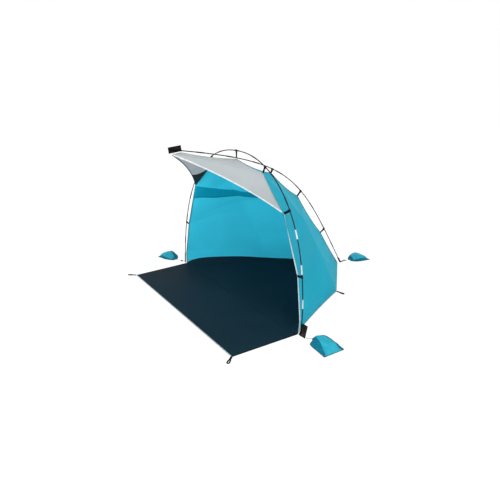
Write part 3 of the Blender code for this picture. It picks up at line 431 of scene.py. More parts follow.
def addPiece(name, mesh, body, *materials, sharpAngle=40):
    piece = bpy.data.objects.new(name, mesh)
    scene.collection.objects.link(piece)
    for material in materials:
        mesh.materials.append(material)
    mesh.shade_smooth()
    mesh.set_sharp_from_angle(angle=math.radians(sharpAngle))
    if body:
        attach(piece, body)
    return piece


def meshFrom(name, bm):
    mesh = bpy.data.meshes.new(name)
    bm.to_mesh(mesh)
    bm.free()
    return mesh


def weldedMesh(name, bm):
    bmesh.ops.remove_doubles(bm, verts=bm.verts, dist=weld)
    bmesh.ops.recalc_face_normals(bm, faces=bm.faces)
    return meshFrom(name, bm)


def bentGrid(columns, rows, place, uvAt):
    # a flat grid whose corners go where place puts their two shares
    bm = bmesh.new()
    bmesh.ops.create_grid(bm, x_segments=columns, y_segments=rows, size=0.5)
    uvLayer = bm.loops.layers.uv.new("UVMap")
    for face in bm.faces:
        for loop in face.loops:
            loop[uvLayer].uv = uvAt(loop.vert.co)
    for vertex in bm.verts:
        vertex.co = place(vertex.co.x + 0.5, vertex.co.y + 0.5)
    return bm


def thicken(piece, thickness, innerSlot=0):
    skin = piece.modifiers.new("thickness", "SOLIDIFY")
    skin.thickness, skin.offset, skin.material_offset = thickness, 0.0, innerSlot


# how finely a sheet's width is measured, and the share of its rectangle that isn't wasted when it is cut
cutting = {"columns": 40, "rows": 8, "usedShare": 0.75}


def clothGrid(name, columns, rows, place, thickness, body, outer, inner=None, flip=False):
    # a fine sheet with its own thickness; outer is the face that looks along the surface's normal
    bm = bentGrid(columns, rows, place, lambda corner: (corner.x + 0.5, corner.y + 0.5))
    if flip:
        bmesh.ops.reverse_faces(bm, faces=bm.faces)
    area = sum(face.calc_area() for face in bm.faces)
    widths = []
    for row in range(cutting["rows"] + 1):
        line = sampled(lambda share: place(share, row / cutting["rows"]), cutting["columns"])
        widths.append(sum((end - start).length for start, end in zip(line, line[1:])))
    cut = {"area": area, "flat": (max(widths), area / max(widths) / cutting["usedShare"])}
    piece = addPiece(name, meshFrom(name, bm), body, outer, inner or outer, sharpAngle=60)
    thicken(piece, thickness, 1 if inner else 0)
    return piece, cut


def sampled(place, count):
    return [place(step / count) for step in range(count + 1)]


def tapeAlong(name, centres, acrossWays, width, thickness, body, material, closed=False, join=None):
    # a flat band with softly rounded edges that follows the centres; UV is in metres
    chamfer = thickness * 0.3
    halfW, halfT = width / 2, thickness / 2
    top = [(-halfW, halfT - chamfer), (-halfW + chamfer, halfT), (halfW - chamfer, halfT),
           (halfW, halfT - chamfer)]
    outline = top + [(-x, -y) for x, y in top]
    bm = join or bmesh.new()
    uvLayer = bm.loops.layers.uv.get("UVMap") or bm.loops.layers.uv.new("UVMap")
    count, sides = len(centres), len(outline)
    rings, runs, travelled = [], [], 0.0
    for index, centre in enumerate(centres):
        before = centres[index - 1] if index or closed else centre
        after = centres[(index + 1) % count] if index + 1 < count or closed else centre
        along = (after - before).normalized()
        across = acrossWays[index]
        across = (across - along * across.dot(along)).normalized()
        up = along.cross(across)
        rings.append([bm.verts.new(centre + across * x + up * y) for x, y in outline])
        travelled += (centre - centres[index - 1]).length if index else 0.0
        runs.append(travelled)
    pairs = [(i, i + 1) for i in range(count - 1)] + ([(count - 1, 0)] if closed else [])
    for first, second in pairs:
        near, far = runs[first], runs[second] if second else travelled + (centres[0] - centres[-1]).length
        for side in range(sides):
            nextSide = (side + 1) % sides
            face = bm.faces.new((rings[first][side], rings[second][side], rings[second][nextSide],
                                 rings[first][nextSide]))
            low, high = outline[side][0], outline[nextSide][0]
            for loop, value in zip(face.loops, ((near, low), (far, low), (far, high), (near, high))):
                loop[uvLayer].uv = value
    if not closed:
        bm.faces.new(rings[0])
        bm.faces.new(rings[-1][::-1])
    if join:
        return None
    return addPiece(name, weldedMesh(name, bm), body, material, sharpAngle=50)


def turnedPiece(name, profile, matrix, body, material):
    # a lathe turned about the local Z axis; the profile is (radius, height) from axis to axis
    bm = bmesh.new()
    corners = [bm.verts.new((radius, 0.0, height)) for radius, height in profile]
    edges = [bm.edges.new(pair) for pair in zip(corners, corners[1:])]
    bmesh.ops.spin(bm, geom=corners + edges, cent=(0, 0, 0), axis=(0, 0, 1), angle=math.tau, steps=24,
                   use_merge=True, use_duplicate=False)
    bm.transform(matrix)
    return addPiece(name, weldedMesh(name, bm), body, material)


def frameMatrix(origin, xWay, zWay):
    zWay = zWay.normalized()
    xWay = (xWay - zWay * xWay.dot(zWay)).normalized()
    turn = Matrix((xWay, zWay.cross(xWay), zWay)).transposed()
    return Matrix.Translation(origin) @ turn.to_4x4()


# Poles

pole = {"sides": 16, "stationPitch": 0.03, "sleeveSink": 0.0005, "sleeveEdge": 0.0007, "lipRise": 0.0003,
        "lipStart": 0.0008, "lipTop": 0.003, "lipEnd": 0.004}


def sweptTube(route, stations):
    # stations are (distance, radius) from one capped end to the other
    bm = bmesh.new()
    rings, sides = [], pole["sides"]
    for distance, radius in stations:
        centre, way, across = route.frame(distance)
        rings.append([bm.verts.new(centre + (across * math.cos(math.tau * side / sides)
                                             + route.sideWay * math.sin(math.tau * side / sides)) * radius)
                      for side in range(sides)])
    for first, second in zip(rings, rings[1:]):
        for side in range(sides):
            nextSide = (side + 1) % sides
            bm.faces.new((first[side], first[nextSide], second[nextSide], second[side]))
    bm.faces.new(rings[0][::-1])
    bm.faces.new(rings[-1])
    return bm


def buildPole(prefix, route, sections, inset, glintCount, replaced):
    radius, outer, half = tent["tubeRadius"], tent["ferruleRadius"], tent["ferruleHalf"]
    low, high = inset, route.length - inset
    stations = sampled(lambda share: (low + (high - low) * share, radius),
                       round(route.length / pole["stationPitch"]))
    tube = addPiece(prefix + "Tube", weldedMesh(prefix, sweptTube(route, stations)), "tent", poleFibre)
    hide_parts(*replaced)
    # metal sleeves over every joint between two sections, with rolled lips
    lip = [(-half, radius - pole["sleeveSink"]), (-half, outer - pole["sleeveEdge"]),
           (-half + pole["lipStart"], outer + pole["lipRise"]),
           (-half + pole["lipTop"], outer + pole["lipRise"]),
           (-half + pole["lipEnd"], outer)]
    shape = lip + [(0.0, outer)] + [(-offset, r) for offset, r in lip[::-1]]
    whole = bmesh.new()
    for joint in range(1, sections):
        middle = route.length * joint / sections
        part = sweptTube(route, [(middle + offset, r) for offset, r in shape])
        # painted highlight: bright metal low on the right leg, the same sleeves painted near black elsewhere
        for face in part.faces:
            face.material_index = int(joint <= glintCount)
        mesh = meshFrom("sleeve", part)
        whole.from_mesh(mesh)
        bpy.data.meshes.remove(mesh)
    sleeves = addPiece(prefix + "Sleeves", weldedMesh(prefix + "Sleeves", whole), "tent", ferruleDark)
    sleeves.data.materials.append(ferruleGlint)


buildPole("hoop", hoop, 14, 0.0026, 3, ["hoop_section_%d" % n for n in range(1, 8)] + ["hoop_shock_cord"])
buildPole("spine", spine, 9, 0.0088, 0, ["spine_section_%d" % n for n in range(1, 4)] + ["spine_shock_cord"])
print("poles built")


# Canopy

canopy = {"reach": 0.062, "spineReach": 0.070, "topSpineReach": 0.62 * 0.070, "ridgeDrop": 0.0112,
          "ridgeSag": 0.022, "visorRidgeSag": 0.012, "visorHemDraw": 0.040, "visorHemLift": 0.018,
          "upperPull": 0.022, "heelShare": 0.07, "heelLift": 0.030, "sideHemLift": 0.014,
          "rearHemLift": 0.012,
          "seat": 0.0016, "footX": 1.0625, "bendX": 1.0675, "bendZ": 0.130, "sideCorner": (0.609, 0.923),
          "rearY": 1.552, "tipY": -0.605, "tipZ": 1.4705, "crestY": -0.512, "crestZ": 1.485,
          "shoulder": ((0.0, 0.830), (0.05, 0.812), (0.185, 0.745), (0.29, 0.694), (0.39, 0.660),
                       (0.48, 0.630),
                       (0.58, 0.603), (0.70, 0.572), (0.88, 0.522), (1.0, 0.490)),
          "bandTop": ((0.0, 0.990), (0.03, 0.978), (0.12, 0.925), (0.22, 0.862), (0.32, 0.785), (0.42, 0.728),
                      (0.51, 0.688), (0.60, 0.660), (0.75, 0.622), (1.0, 0.575)),
          "columns": 64, "rows": 72, "thickness": 0.0012, "slack": 0.005, "slackSize": 2.4, "slackEdge": 0.07}
# the angle along the hoop and the distance along the spine at which each clip holds the cloth
hoopHooks = {"lower": 0.291, "upper": 0.727, "middle": 1.165}
spineHooks = {"rear_lower": (0.580, "spineReach"), "rear_middle": (1.207, "spineReach"),
              "rear_upper": (1.690, "topSpineReach")}


def hoopDistance(angle):
    step = angle / math.pi * (len(hoop.points) - 1)
    low = int(step)
    high = min(low + 1, len(hoop.lengths) - 1)
    return hoop.lengths[low] + (hoop.lengths[high] - hoop.lengths[low]) * (step - low)


flat, up, down, rightward = Vector((0, 0, 0)), Vector((0, 0, 1)), Vector((0, 0, -1)), Vector((1, 0, 0))


def hangFrom(route, distance, reach, extra=flat):
    centre, way, square = route.frame(distance)
    if square.dot(Vector((0, tent["halfSpan"] / 2, tent["height"] / 4)) - centre) < 0:
        square = -square
    return centre, way, centre + square * reach + extra


def mirrored(point, sign):
    return Vector((point.x * sign, point.y, point.z))


hooks = {}
for name, angle in hoopHooks.items():
    pull = Vector((0, -canopy["upperPull"], 0)) if name == "upper" else flat
    centre, way, end = hangFrom(hoop, hoopDistance(angle), canopy["reach"], pull)
    hooks[name + "_right"] = (centre, way, end)
    hooks[name + "_left"] = (mirrored(centre, -1), -mirrored(way, -1), mirrored(end, -1))
for name, (distance, reach) in spineHooks.items():
    hooks[name] = hangFrom(spine, distance, canopy[reach])
hoopTop = hoop.at(hoop.length / 2)
underTop = min(sampled(lambda share: spine.at(spine.length * share), 2000),
               key=lambda p: abs(p.y - hoopTop.y))
apex = Vector((0, hoopTop.y, underTop.z - canopy["ridgeDrop"]))
hooks["apex"] = (hoopTop, rightward, apex)


def pulledEdge(corners, sags, share):
    runs = [(end - start).length for start, end in zip(corners, corners[1:])]
    left = min(max(share, 0.0), 1.0) * sum(runs)
    for start, end, run, sag in zip(corners, corners[1:], runs, sags):
        if left <= run or end is corners[-1]:
            part = min(left / run, 1.0)
            return start.lerp(end, part) + sag * (4 * part * (1 - part))
        left -= run


wallFoot = Vector((canopy["footX"], 0, canopy["seat"]))
hemBend = Vector((canopy["bendX"], tent["lean"] * canopy["bendZ"], canopy["bendZ"]))
sideCorner = Vector((*canopy["sideCorner"], canopy["seat"]))
rearCorner = Vector((0, canopy["rearY"], canopy["seat"]))
tip = Vector((0, canopy["tipY"], canopy["tipZ"]))
crest = Vector((0, canopy["crestY"], canopy["crestZ"]))
upperEnd = hooks["upper_right"][2]
hemEdge = ([wallFoot, hemBend, hooks["lower_right"][2], upperEnd], [flat] * 3)
ridgeEdge = ([rearCorner, hooks["rear_lower"][2], hooks["rear_middle"][2], hooks["rear_upper"][2], apex],
             [down * canopy["ridgeSag"] / 2] + [down * canopy["ridgeSag"]] * 3)
heel = wallFoot.lerp(sideCorner, canopy["heelShare"]) + up * canopy["heelLift"]
bottomEdge = ([wallFoot, heel, sideCorner, rearCorner],
              [flat, up * canopy["sideHemLift"], up * canopy["rearHemLift"]])
archEdge = ([upperEnd, hooks["middle_right"][2], apex], [down * canopy["ridgeSag"] / 2] * 2)
visorHem = ([tip, upperEnd], [Vector((0, canopy["visorHemDraw"], canopy["visorHemLift"]))])
visorRidge = ([tip, crest, apex], [flat, down * canopy["visorRidgeSag"]])


def sidePoint(across, height):
    bottom, top = pulledEdge(*bottomEdge, across), pulledEdge(*archEdge, across)
    front, back = pulledEdge(*hemEdge, height), pulledEdge(*ridgeEdge, height)
    plain = wallFoot * (1 - across) * (1 - height) + rearCorner * across * (1 - height)
    plain += upperEnd * (1 - across) * height + apex * across * height
    return bottom * (1 - height) + top * height + front * (1 - across) + back * across - plain


def visorPoint(across, back):
    reach = abs(across)
    base = pulledEdge(*archEdge, 1 - reach)
    hemWay = pulledEdge(*visorHem, back) - tip.lerp(upperEnd, back)
    ridgeWay = pulledEdge(*visorRidge, back) - tip.lerp(apex, back)
    point = tip.lerp(base, back) + hemWay * reach * reach + ridgeWay * (1 - reach)
    return mirrored(point, -1 if across < 0 else 1)


def alongTable(table, share):
    # a smooth line through the table's points
    last = len(table) - 1
    spot = next((index for index in range(last) if share <= table[index + 1][0]), last - 1)
    (low, first), (high, second) = table[spot], table[spot + 1]
    run = high - low
    slopes = []
    for index in (spot, spot + 1):
        (x0, y0), (x1, y1) = table[max(index - 1, 0)], table[min(index + 1, last)]
        slopes.append((y1 - y0) / (x1 - x0) * run)
    part = min(max((share - low) / run, 0.0), 1.0)
    square, cube = part * part, part ** 3
    return (first * (2 * cube - 3 * square + 1) + slopes[0] * (cube - 2 * square + part)
            + second * (3 * square - 2 * cube) + slopes[1] * (cube - square))


def surfaceNormal(surface, first, second, limits=(0.0, 1.0)):
    low, high = max(first - probe, limits[0]), min(first + probe, limits[1])
    along = surface(high, second) - surface(low, second)
    low, high = max(second - probe, 0.0), min(second + probe, 1.0)
    return along.cross(surface(first, high) - surface(first, low)).normalized()


pullPoints = [hooks[name][2] for name in ("lower_right", "upper_right", "middle_right", "rear_lower",
                                          "rear_middle", "rear_upper", "apex")]
pullPoints += [wallFoot, sideCorner, rearCorner]
folds = {"size": 0.0022, "from": 0.004, "to": 0.55, "rise": 0.05, "fade": 0.16, "rays": 9, "turn": 1.7,
         "slant": Vector((0.3, 0.2, 0.93))}


def tensionFold(point, normal):
    # shallow rays that run out from every place where the cloth is held
    total = 0.0
    for number, anchor in enumerate(pullPoints):
        offset = point - anchor
        reach = offset.length
        if folds["from"] < reach < folds["to"]:
            side = normal.cross(folds["slant"]).normalized()
            turn = math.atan2(offset.dot(normal.cross(side)), offset.dot(side))
            fade = math.exp(-reach / folds["fade"]) * min(reach / folds["rise"], 1.0)
            total += math.cos(turn * folds["rays"] + number * folds["turn"]) * fade
    return total * folds["size"]


def drapedSide(across, height, sign=1, lift=0.0):
    # the cloth as it hangs, with its folds and slack; lift is how far out from it
    point = sidePoint(across, height)
    normal = surfaceNormal(sidePoint, across, height)
    edge = max(min(across, 1 - across, height, 1 - height), 0.0)
    fade = min(edge / canopy["slackEdge"], 1.0) ** 2
    wave = noise.noise(mirrored(point, sign) * canopy["slackSize"]) * canopy["slack"] * fade
    return mirrored(point + normal * (tensionFold(point, normal) * fade + wave + lift), sign)


def hemBends():
    # the shares along the bottom hem at which it bends
    corners = bottomEdge[0]
    runs = [(second - first).length for first, second in zip(corners, corners[1:])]
    return [sum(runs[:count]) / sum(runs) for count in range(len(runs) + 1)]


bendShares = hemBends()


def snapShare(across):
    # one column of the cloth falls on each bend of the bottom hem
    for low, high in zip(bendShares, bendShares[1:]):
        first, second = [round(share * canopy["columns"]) / canopy["columns"] for share in (low, high)]
        if across <= second or high == bendShares[-1]:
            return low + (high - low) * (across - first) / (second - first)


def sideCloth(a, b):
    # a runs from the left front hem over the ridge to the right front hem, b from the ground up
    return drapedSide(snapShare(1 - abs(a - 0.5) * 2), b, 1 if a >= 0.5 else -1)


canopyPiece, canopyCut = clothGrid("canopyCloth", canopy["columns"] * 2, canopy["rows"], sideCloth,
                                   canopy["thickness"], "tent", canopyCloth, insidePaintedLightCloth, flip=True)
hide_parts("wall_left", "wall_right", "roof_left", "roof_right")

# from the tip's seam to the arch's, and the widths over which its ripples fade out at the four sides
visor = {"columns": 80, "rows": 48, "start": 0.012, "run": 0.9865, "rays": 23, "rayDepth": 0.0016,
         "slack": 0.003, "slackSize": 4, "edgeFade": 0.15, "tipFade": 0.15, "archFade": 0.1,
         "ridgeFade": 0.12}


def visorCloth3d(a, b):
    across, back = a * 2 - 1, visor["start"] + b * visor["run"]
    point = visorPoint(across, back)
    reach = abs(across)
    fade = (min((1 - reach) / visor["edgeFade"], 1.0) * min(back / visor["tipFade"], 1.0)
            * min((1 - back) / visor["archFade"], 1.0) * min(reach / visor["ridgeFade"], 1.0))
    ray = (math.cos(reach * visor["rays"]) * visor["rayDepth"]
           + noise.noise(point * visor["slackSize"]) * visor["slack"])
    return point + Vector((0, 0, ray * fade))


visorPiece, visorCut = clothGrid("visorCloth", visor["columns"], visor["rows"], visorCloth3d,
                                 canopy["thickness"],
                                 "tent", visorCloth, visorUnder)
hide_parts("visor")

lining = {"thickness": 0.0008, "bandEnd": 0.997, "bandDrop": 0.0020, "bandStart": 0.0006, "bandLeast": 0.0012,
          "gussetWide": 0.375, "gussetDeep": 0.33, "gussetSide": 0.001, "gussetTop": 0.012,
          "gussetDrop": 0.0022}


def liningSheet(name, sign, surfaceAt, columns, rows, material, node):
    piece, cut = clothGrid(name, columns, rows, surfaceAt, lining["thickness"], "tent", material,
                           flip=sign < 0)
    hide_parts(node)


for side, sign in (("right", 1), ("left", -1)):
    def bandAt(a, b, sign=sign):
        across = min(a, lining["bandEnd"])
        low = alongTable(canopy["shoulder"], across) + lining["bandStart"]
        high = max(alongTable(canopy["bandTop"], across), low + lining["bandLeast"])
        return drapedSide(across, low + (high - low) * b, sign, -lining["bandDrop"])

    def gussetAt(a, b, sign=sign):
        # a triangle from the visor's corner: a along the hem, b along the arch seam
        across = 1 - a * (1 - b) * lining["gussetWide"] - lining["gussetSide"]
        back = 1 - (a * b) * lining["gussetDeep"] - lining["gussetTop"]
        normal = surfaceNormal(visorPoint, across, back, (-1.0, 1.0))
        return mirrored(visorPoint(across, back) - normal * lining["gussetDrop"], sign)

    liningSheet("shadeBand_" + side, sign, bandAt, 48, 8, bandCloth, "shade_band_" + side)
    liningSheet("cornerGusset_" + side, sign, gussetAt, 16, 16, gussetCloth,
                "corner_gusset_" + side)
print("canopy built")


# Hems, seams and tapes

# widths, then thicknesses and lifts, then where a tape starts along its edge and how much of it it covers
tapes = {"frontHem": 0.022, "bottomHem": 0.014, "visorHem": 0.016, "inner": 0.008, "seam": 0.010,
         "ridge": 0.016,
         "layer": 0.0011, "folded": 0.0022, "flat": 0.0010, "ridgeLayer": 0.0016, "visorLayer": 0.0012,
         "overhang": 0.0012, "bottomOverhang": 0.0006, "seamLift": 0.0009, "ridgeLift": 0.0012,
         "visorLift": 0.0010, "inward": 0.02, "visorInward": 0.04, "archLine": 0.998, "archInward": 0.96,
         "frontRun": (0.002, 0.99), "groundRun": (0.012, 0.973), "shoulderRun": (0.01, 0.98),
         "archRun": (0.0, 0.985), "visorRun": (0.02, 0.965), "ridgeRun": (0.012, 0.984),
         "visorRidgeRun": (0.03, 0.955)}
canopyTrim, visorTrim = [], []


def onRun(name, share):
    start, run = tapes[name]
    return start + share * run


def lineTape(name, placeAt, count, width, thickness, material):
    # placeAt gives the middle of the tape and the direction across it
    centres, ways = zip(*sampled(placeAt, count))
    return tapeAlong(name, centres, ways, width, thickness, "tent", material)


def edgeTape(name, surface, onEdge, inside, count, width, thickness, overhang, material):
    # a band along an edge of a sheet; onEdge and inside give the surface's two shares
    def placeAt(share):
        edge = surface(*onEdge(share))
        way = (surface(*inside(share)) - edge).normalized()
        return edge + way * (width / 2 - overhang), way

    return lineTape(name, placeAt, count, width, thickness, material)


def frontAt(inward):
    return lambda share: (inward, onRun("frontRun", share))


def groundAt(height):
    return lambda share: (onRun("groundRun", share), height)


def visorAt(across):
    return lambda share: (across, onRun("visorRun", share))


def liftedVisor(lift):
    return lambda across, back: (visorPoint(across, back)
                                 + surfaceNormal(visorPoint, across, back, (-1.0, 1.0)) * lift)


for side, sign in (("right", 1), ("left", -1)):
    def liftedSide(lift, sign=sign):
        return lambda across, height: drapedSide(across, height, sign, lift)

    def shoulderAt(share, sign=sign):
        across = onRun("shoulderRun", share)
        low = alongTable(canopy["shoulder"], across)
        here, above = [drapedSide(across, height, sign,
                                  tapes["seamLift"]) for height in (low, low + tapes["inward"])]
        return here, (above - here).normalized()

    def archAt(share, sign=sign):
        across = onRun("archRun", share)
        seam = sidePoint(across, tapes["archLine"])
        return mirrored(seam, sign), mirrored((sidePoint(across, tapes["archInward"]) - seam).normalized(),
                                              sign)

    # white binding outside and a narrow dark one inside
    for name, lift, width, material in (("frontHem_", tapes["layer"], tapes["frontHem"], hemWhite),
                                        ("frontLining_", -tapes["layer"], tapes["inner"], hemTeal)):
        canopyTrim.append(edgeTape(name + side, liftedSide(lift), frontAt(0.0), frontAt(tapes["inward"]), 60,
                                   width,
                                   tapes["layer"], tapes["overhang"], material))
    canopyTrim.append(edgeTape("bottomHem_" + side, liftedSide(0.0), groundAt(0.001),
                               groundAt(tapes["inward"]), 90,
                               tapes["bottomHem"], tapes["folded"], tapes["bottomOverhang"], bottomTape))
    # the curved shoulder seam, a flat-felled band on the outside, and the arch seam between visor and roof
    canopyTrim.append(lineTape("shoulderSeam_" + side, shoulderAt, 80, tapes["seam"], tapes["flat"],
                               seamCyan))
    canopyTrim.append(lineTape("archSeam_" + side, archAt, 50, tapes["seam"], tapes["folded"], seamCyan))
    for name, lift, width, material in (("visorHem_", tapes["layer"], tapes["visorHem"], hemSilver),
                                        ("visorLining_", -tapes["layer"], tapes["inner"], hemTeal)):
        visorTrim.append(edgeTape(name + side, liftedVisor(lift), visorAt(sign * 1.0),
                                  visorAt(sign * (1 - tapes["visorInward"])), 50, width, tapes["layer"],
                                  tapes["overhang"], material))


def ridgeAt(share):
    return pulledEdge(*ridgeEdge, onRun("ridgeRun", share)) + up * tapes["ridgeLift"], rightward


def visorRidgeAt(share):
    return pulledEdge(*visorRidge, onRun("visorRidgeRun", share)) + up * tapes["visorLift"], rightward


canopyTrim.append(lineTape("ridgeTape", ridgeAt, 80, tapes["ridge"], tapes["ridgeLayer"], seamCyan))
visorTrim.append(lineTape("visorRidgeTape", visorRidgeAt, 40, tapes["seam"], tapes["visorLayer"], visorSeam))
print("hems and seams built")


# Groundsheet

ground = {"thickness": 0.0016, "wallGap": 0.0030, "curl": 0.120, "hingeY": -0.0060, "hingeGap": 0.0004,
          "depth": 0.665, "frontX": 1.034, "sideGap": 0.0018, "hem": 0.012, "hemLayer": 0.0024,
          "hemOverhang": 0.0008, "hemLift": 0.0005, "endShare": 0.985, "columns": 72, "rows": 60,
          "ripple": 0.004, "frontRipple": 0.003, "rippleSize": 1.7, "frontRippleSize": 1.9,
          "tub": ((0.0, 0.0), (0.03, 0.028), (0.085, 0.058), (0.20, 0.066), (0.38, 0.054), (0.542, 0.022),
                  (0.70, 0.022), (0.90, 0.014), (1.0, 0.002))}


def floorEdge(share):
    # the point inside the wall at the height where the sheet is sewn on, read off a low strip of the wall
    hem = pulledEdge(*bottomEdge, share)
    rise = max(max(alongTable(ground["tub"], share), 0.0) - (hem.z - canopy["seat"]), 0.0)
    strip = 0.05
    slope = sidePoint(share, strip) - hem
    height = strip * rise / max(slope.z, 0.001)
    return sidePoint(share, height) - surfaceNormal(sidePoint, share, height) * ground["wallGap"]


floorFront = ground["hingeY"] + ground["hingeGap"]
floorStart = floorEdge(0.0)


def floorPlace(a, b):
    edge = floorEdge(snapShare(b) * ground["endShare"])
    forward = (1 - b) ** 6 * (floorStart.y - floorFront)
    reach = max(edge.x, 0.0)
    x = math.sin((a - 0.5) * math.pi) * reach
    curl = max(0.0, 1 - (reach - abs(x)) / ground["curl"]) ** 2
    calm = min((reach - abs(x)) / 0.1, 1.0) * min(b / 0.08, 1.0) * min((1 - b) / 0.1, 1.0)
    y = edge.y - forward
    size = ground["rippleSize"]
    ripple = abs(noise.noise(Vector((x * size, y * size, 0.3)))) * ground["ripple"] * max(calm, 0.0)
    return Vector((x, y, ground["thickness"] / 2 + max(edge.z - canopy["seat"], 0.0) * curl + ripple))


floorPiece, floorCut = clothGrid("groundsheetMain", ground["columns"], ground["rows"], floorPlace,
                                 ground["thickness"], "tent", floorCloth)
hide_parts("floor_main")
halfBack = canopy["footX"] - ground["sideGap"]


def extensionPlace(a, b):
    back = ground["hingeY"] - ground["hingeGap"]
    y = -ground["depth"] + b * (back + ground["depth"])
    half = ground["frontX"] + (halfBack - ground["frontX"]) * b
    x = (a * 2 - 1) * half
    calm = min(a, 1 - a, b, 1 - b) / 0.08
    size = ground["frontRippleSize"]
    ripple = abs(noise.noise(Vector((x * size, y * size, 5.3)))) * ground["frontRipple"] * min(calm, 1.0)
    return Vector((x, y, ground["thickness"] / 2 + ripple))


extensionPiece, extensionCut = clothGrid("groundsheetFront", 80, 30, extensionPlace, ground["thickness"],
                                         "door_mat", floorCloth)
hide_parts("floor_extension")
sideSteps, frontSteps = 16, 40
outerEdge = [extensionPlace(0, 1 - step / sideSteps) for step in range(sideSteps)]
outerEdge += [extensionPlace(step / frontSteps, 0) for step in range(frontSteps)]
outerEdge += [extensionPlace(1, step / sideSteps) for step in range(sideSteps + 1)]


def hemAlong(name, first, last, material):
    inset = ground["hem"] / 2 - ground["hemOverhang"]
    centres, ways = [], []
    for index in range(first, last + 1):
        before, after = outerEdge[max(index - 1, first)], outerEdge[min(index + 1, last)]
        inward = up.cross(after - before).normalized()
        centres.append(outerEdge[index] + inward * inset + up * ground["hemLift"])
        ways.append(inward)
    return tapeAlong(name, centres, ways, ground["hem"], ground["hemLayer"], "door_mat", material)


extensionTrim = [hemAlong("extensionHemLeft", 0, sideSteps, hemDark),
                 hemAlong("extensionHemFront", sideSteps, sideSteps + frontSteps, hemFloor),
                 hemAlong("extensionHemRight", sideSteps + frontSteps, len(outerEdge) - 1, hemDark)]
hinge = {"width": 0.022, "thickness": 0.0007, "sideGap": 0.012, "height": 0.0021, "crown": 0.0003,
         "bendHalf": 0.005, "bendHeight": 0.002}


def hingePlace(a, b):
    y = ground["hingeY"] - hinge["width"] / 2 + b * hinge["width"]
    z = hinge["height"] + hinge["crown"] * math.sin(b * math.pi)
    return Vector(((a * 2 - 1) * (halfBack - hinge["sideGap"]), y, z))


# the strip that joins the two sheets
hingeTape, hingeCut = clothGrid("hingeTape", 40, 12, hingePlace, hinge["thickness"], None, floorCloth)
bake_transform(hingeTape)
print("groundsheet built")


# Clips and their webbing straps

strap = {"width": 0.022, "layer": 0.00085, "loop": 0.00325, "barDistance": 0.0130, "notchHalf": 0.0064,
         "endGap": 0.0011, "tailGap": 0.002, "legGap": 0.0004, "legLap": 0.006, "legLayers": 1.9,
         "notchGap": 0.0012, "tailSteps": 8, "turnSteps": 22}
for name, node in nodes.items():
    if name.startswith("clip_"):
        for materialSlot in node.material_slots:
            materialSlot.material = clipPlastic
        node.data.shade_smooth()
        node.data.set_sharp_from_angle(angle=math.radians(35))


def placed(matrix, points):
    return [matrix @ Vector(point) for point in points]


def strapPath(reach):
    # one band of webbing: from the canopy to the clip's bar, round it, and back on itself
    half, loop, tail = strap["layer"] / 2, strap["loop"], strap["tailSteps"]
    turn = math.asin(half / loop)
    along = [reach - reach * step / tail + loop * step / tail * 1.2 for step in range(tail - 1)]
    path = [(x, half) for x in along]
    for step in range(1, strap["turnSteps"]):
        angle = turn + (math.tau - 2 * turn) * step / strap["turnSteps"]
        path.append((loop * math.cos(angle), loop * math.sin(angle)))
    return path + [(x, -half) for x in along[:0:-1]] + [(reach - strap["tailGap"], -half)]


def buildStrap(name, centre, way, end):
    heldRadius = tent["ferruleRadius"] if name == "apex" else tent["tubeRadius"]
    inward = end - centre
    square = (inward - way * inward.dot(way)).normalized()
    bar = centre + square * (strap["barDistance"] + heldRadius - tent["tubeRadius"])
    matrix = frameMatrix(bar, end - bar, way)
    reach = (end - bar).length - strap["endGap"]
    bm = bmesh.new()

    def addBand(points, width, thickness):
        acrossWays = [matrix.to_3x3() @ up] * len(points)
        tapeAlong(name, placed(matrix, points), acrossWays, width, thickness, "tent", strapBlack, join=bm)

    path = strapPath(reach)
    if name == "apex":
        # below the notch the band splits into two legs that straddle the other pole
        notch = (underTop - bar).dot((end - bar).normalized()) - tent["tubeRadius"] - strap["notchGap"]
        path = [(min(x, notch), y) for x, y in strapPath(notch)]
        legStart = strap["notchHalf"] + strap["legGap"]
        legWidth = strap["width"] / 2 - strap["notchHalf"] - strap["legGap"]
        for legSide in (-1, 1):
            shift = legSide * (legStart + legWidth / 2)
            leg = [(notch - strap["legLap"] + (reach - notch + strap["legLap"]) * step / 6, 0.0, shift)
                   for step in range(7)]
            addBand(leg, legWidth, strap["layer"] * strap["legLayers"])
    addBand([(x, y, 0.0) for x, y in path], strap["width"], strap["layer"])
    piece = addPiece("strapWeb_" + name, weldedMesh(name, bm), "tent", strapBlack, sharpAngle=50)
    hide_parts("strap_" + name)


for name, (centre, way, end) in hooks.items():
    buildStrap(name, centre, way, end)
print("straps built")


# Pole pockets

pocket = {"length": 0.125, "web": 0.0032, "bore": 0.00555, "wall": 0.0012, "floor": 0.0016, "lift": 0.0010,
          "rearLift": 0.0016, "rearLength": 0.070, "rearHalf": 0.017, "tipWidth": 0.053, "tipBelow": 0.004,
          "tipTilt": math.radians(14.5), "leftTurn": math.radians(25), "binding": 0.009,
          "bindingOver": 0.0002, "webInset": 0.0006, "pucker": 0.0003, "columns": 14, "rows": 20,
          "uvWidth": 0.06,
          "footLow": (-0.030, 0.052), "footHigh": (0.0155, 0.0755), "rounding": 0.0007,
          "chamfer": 0.0008, "lip": 0.001, "lipInset": 0.0005}


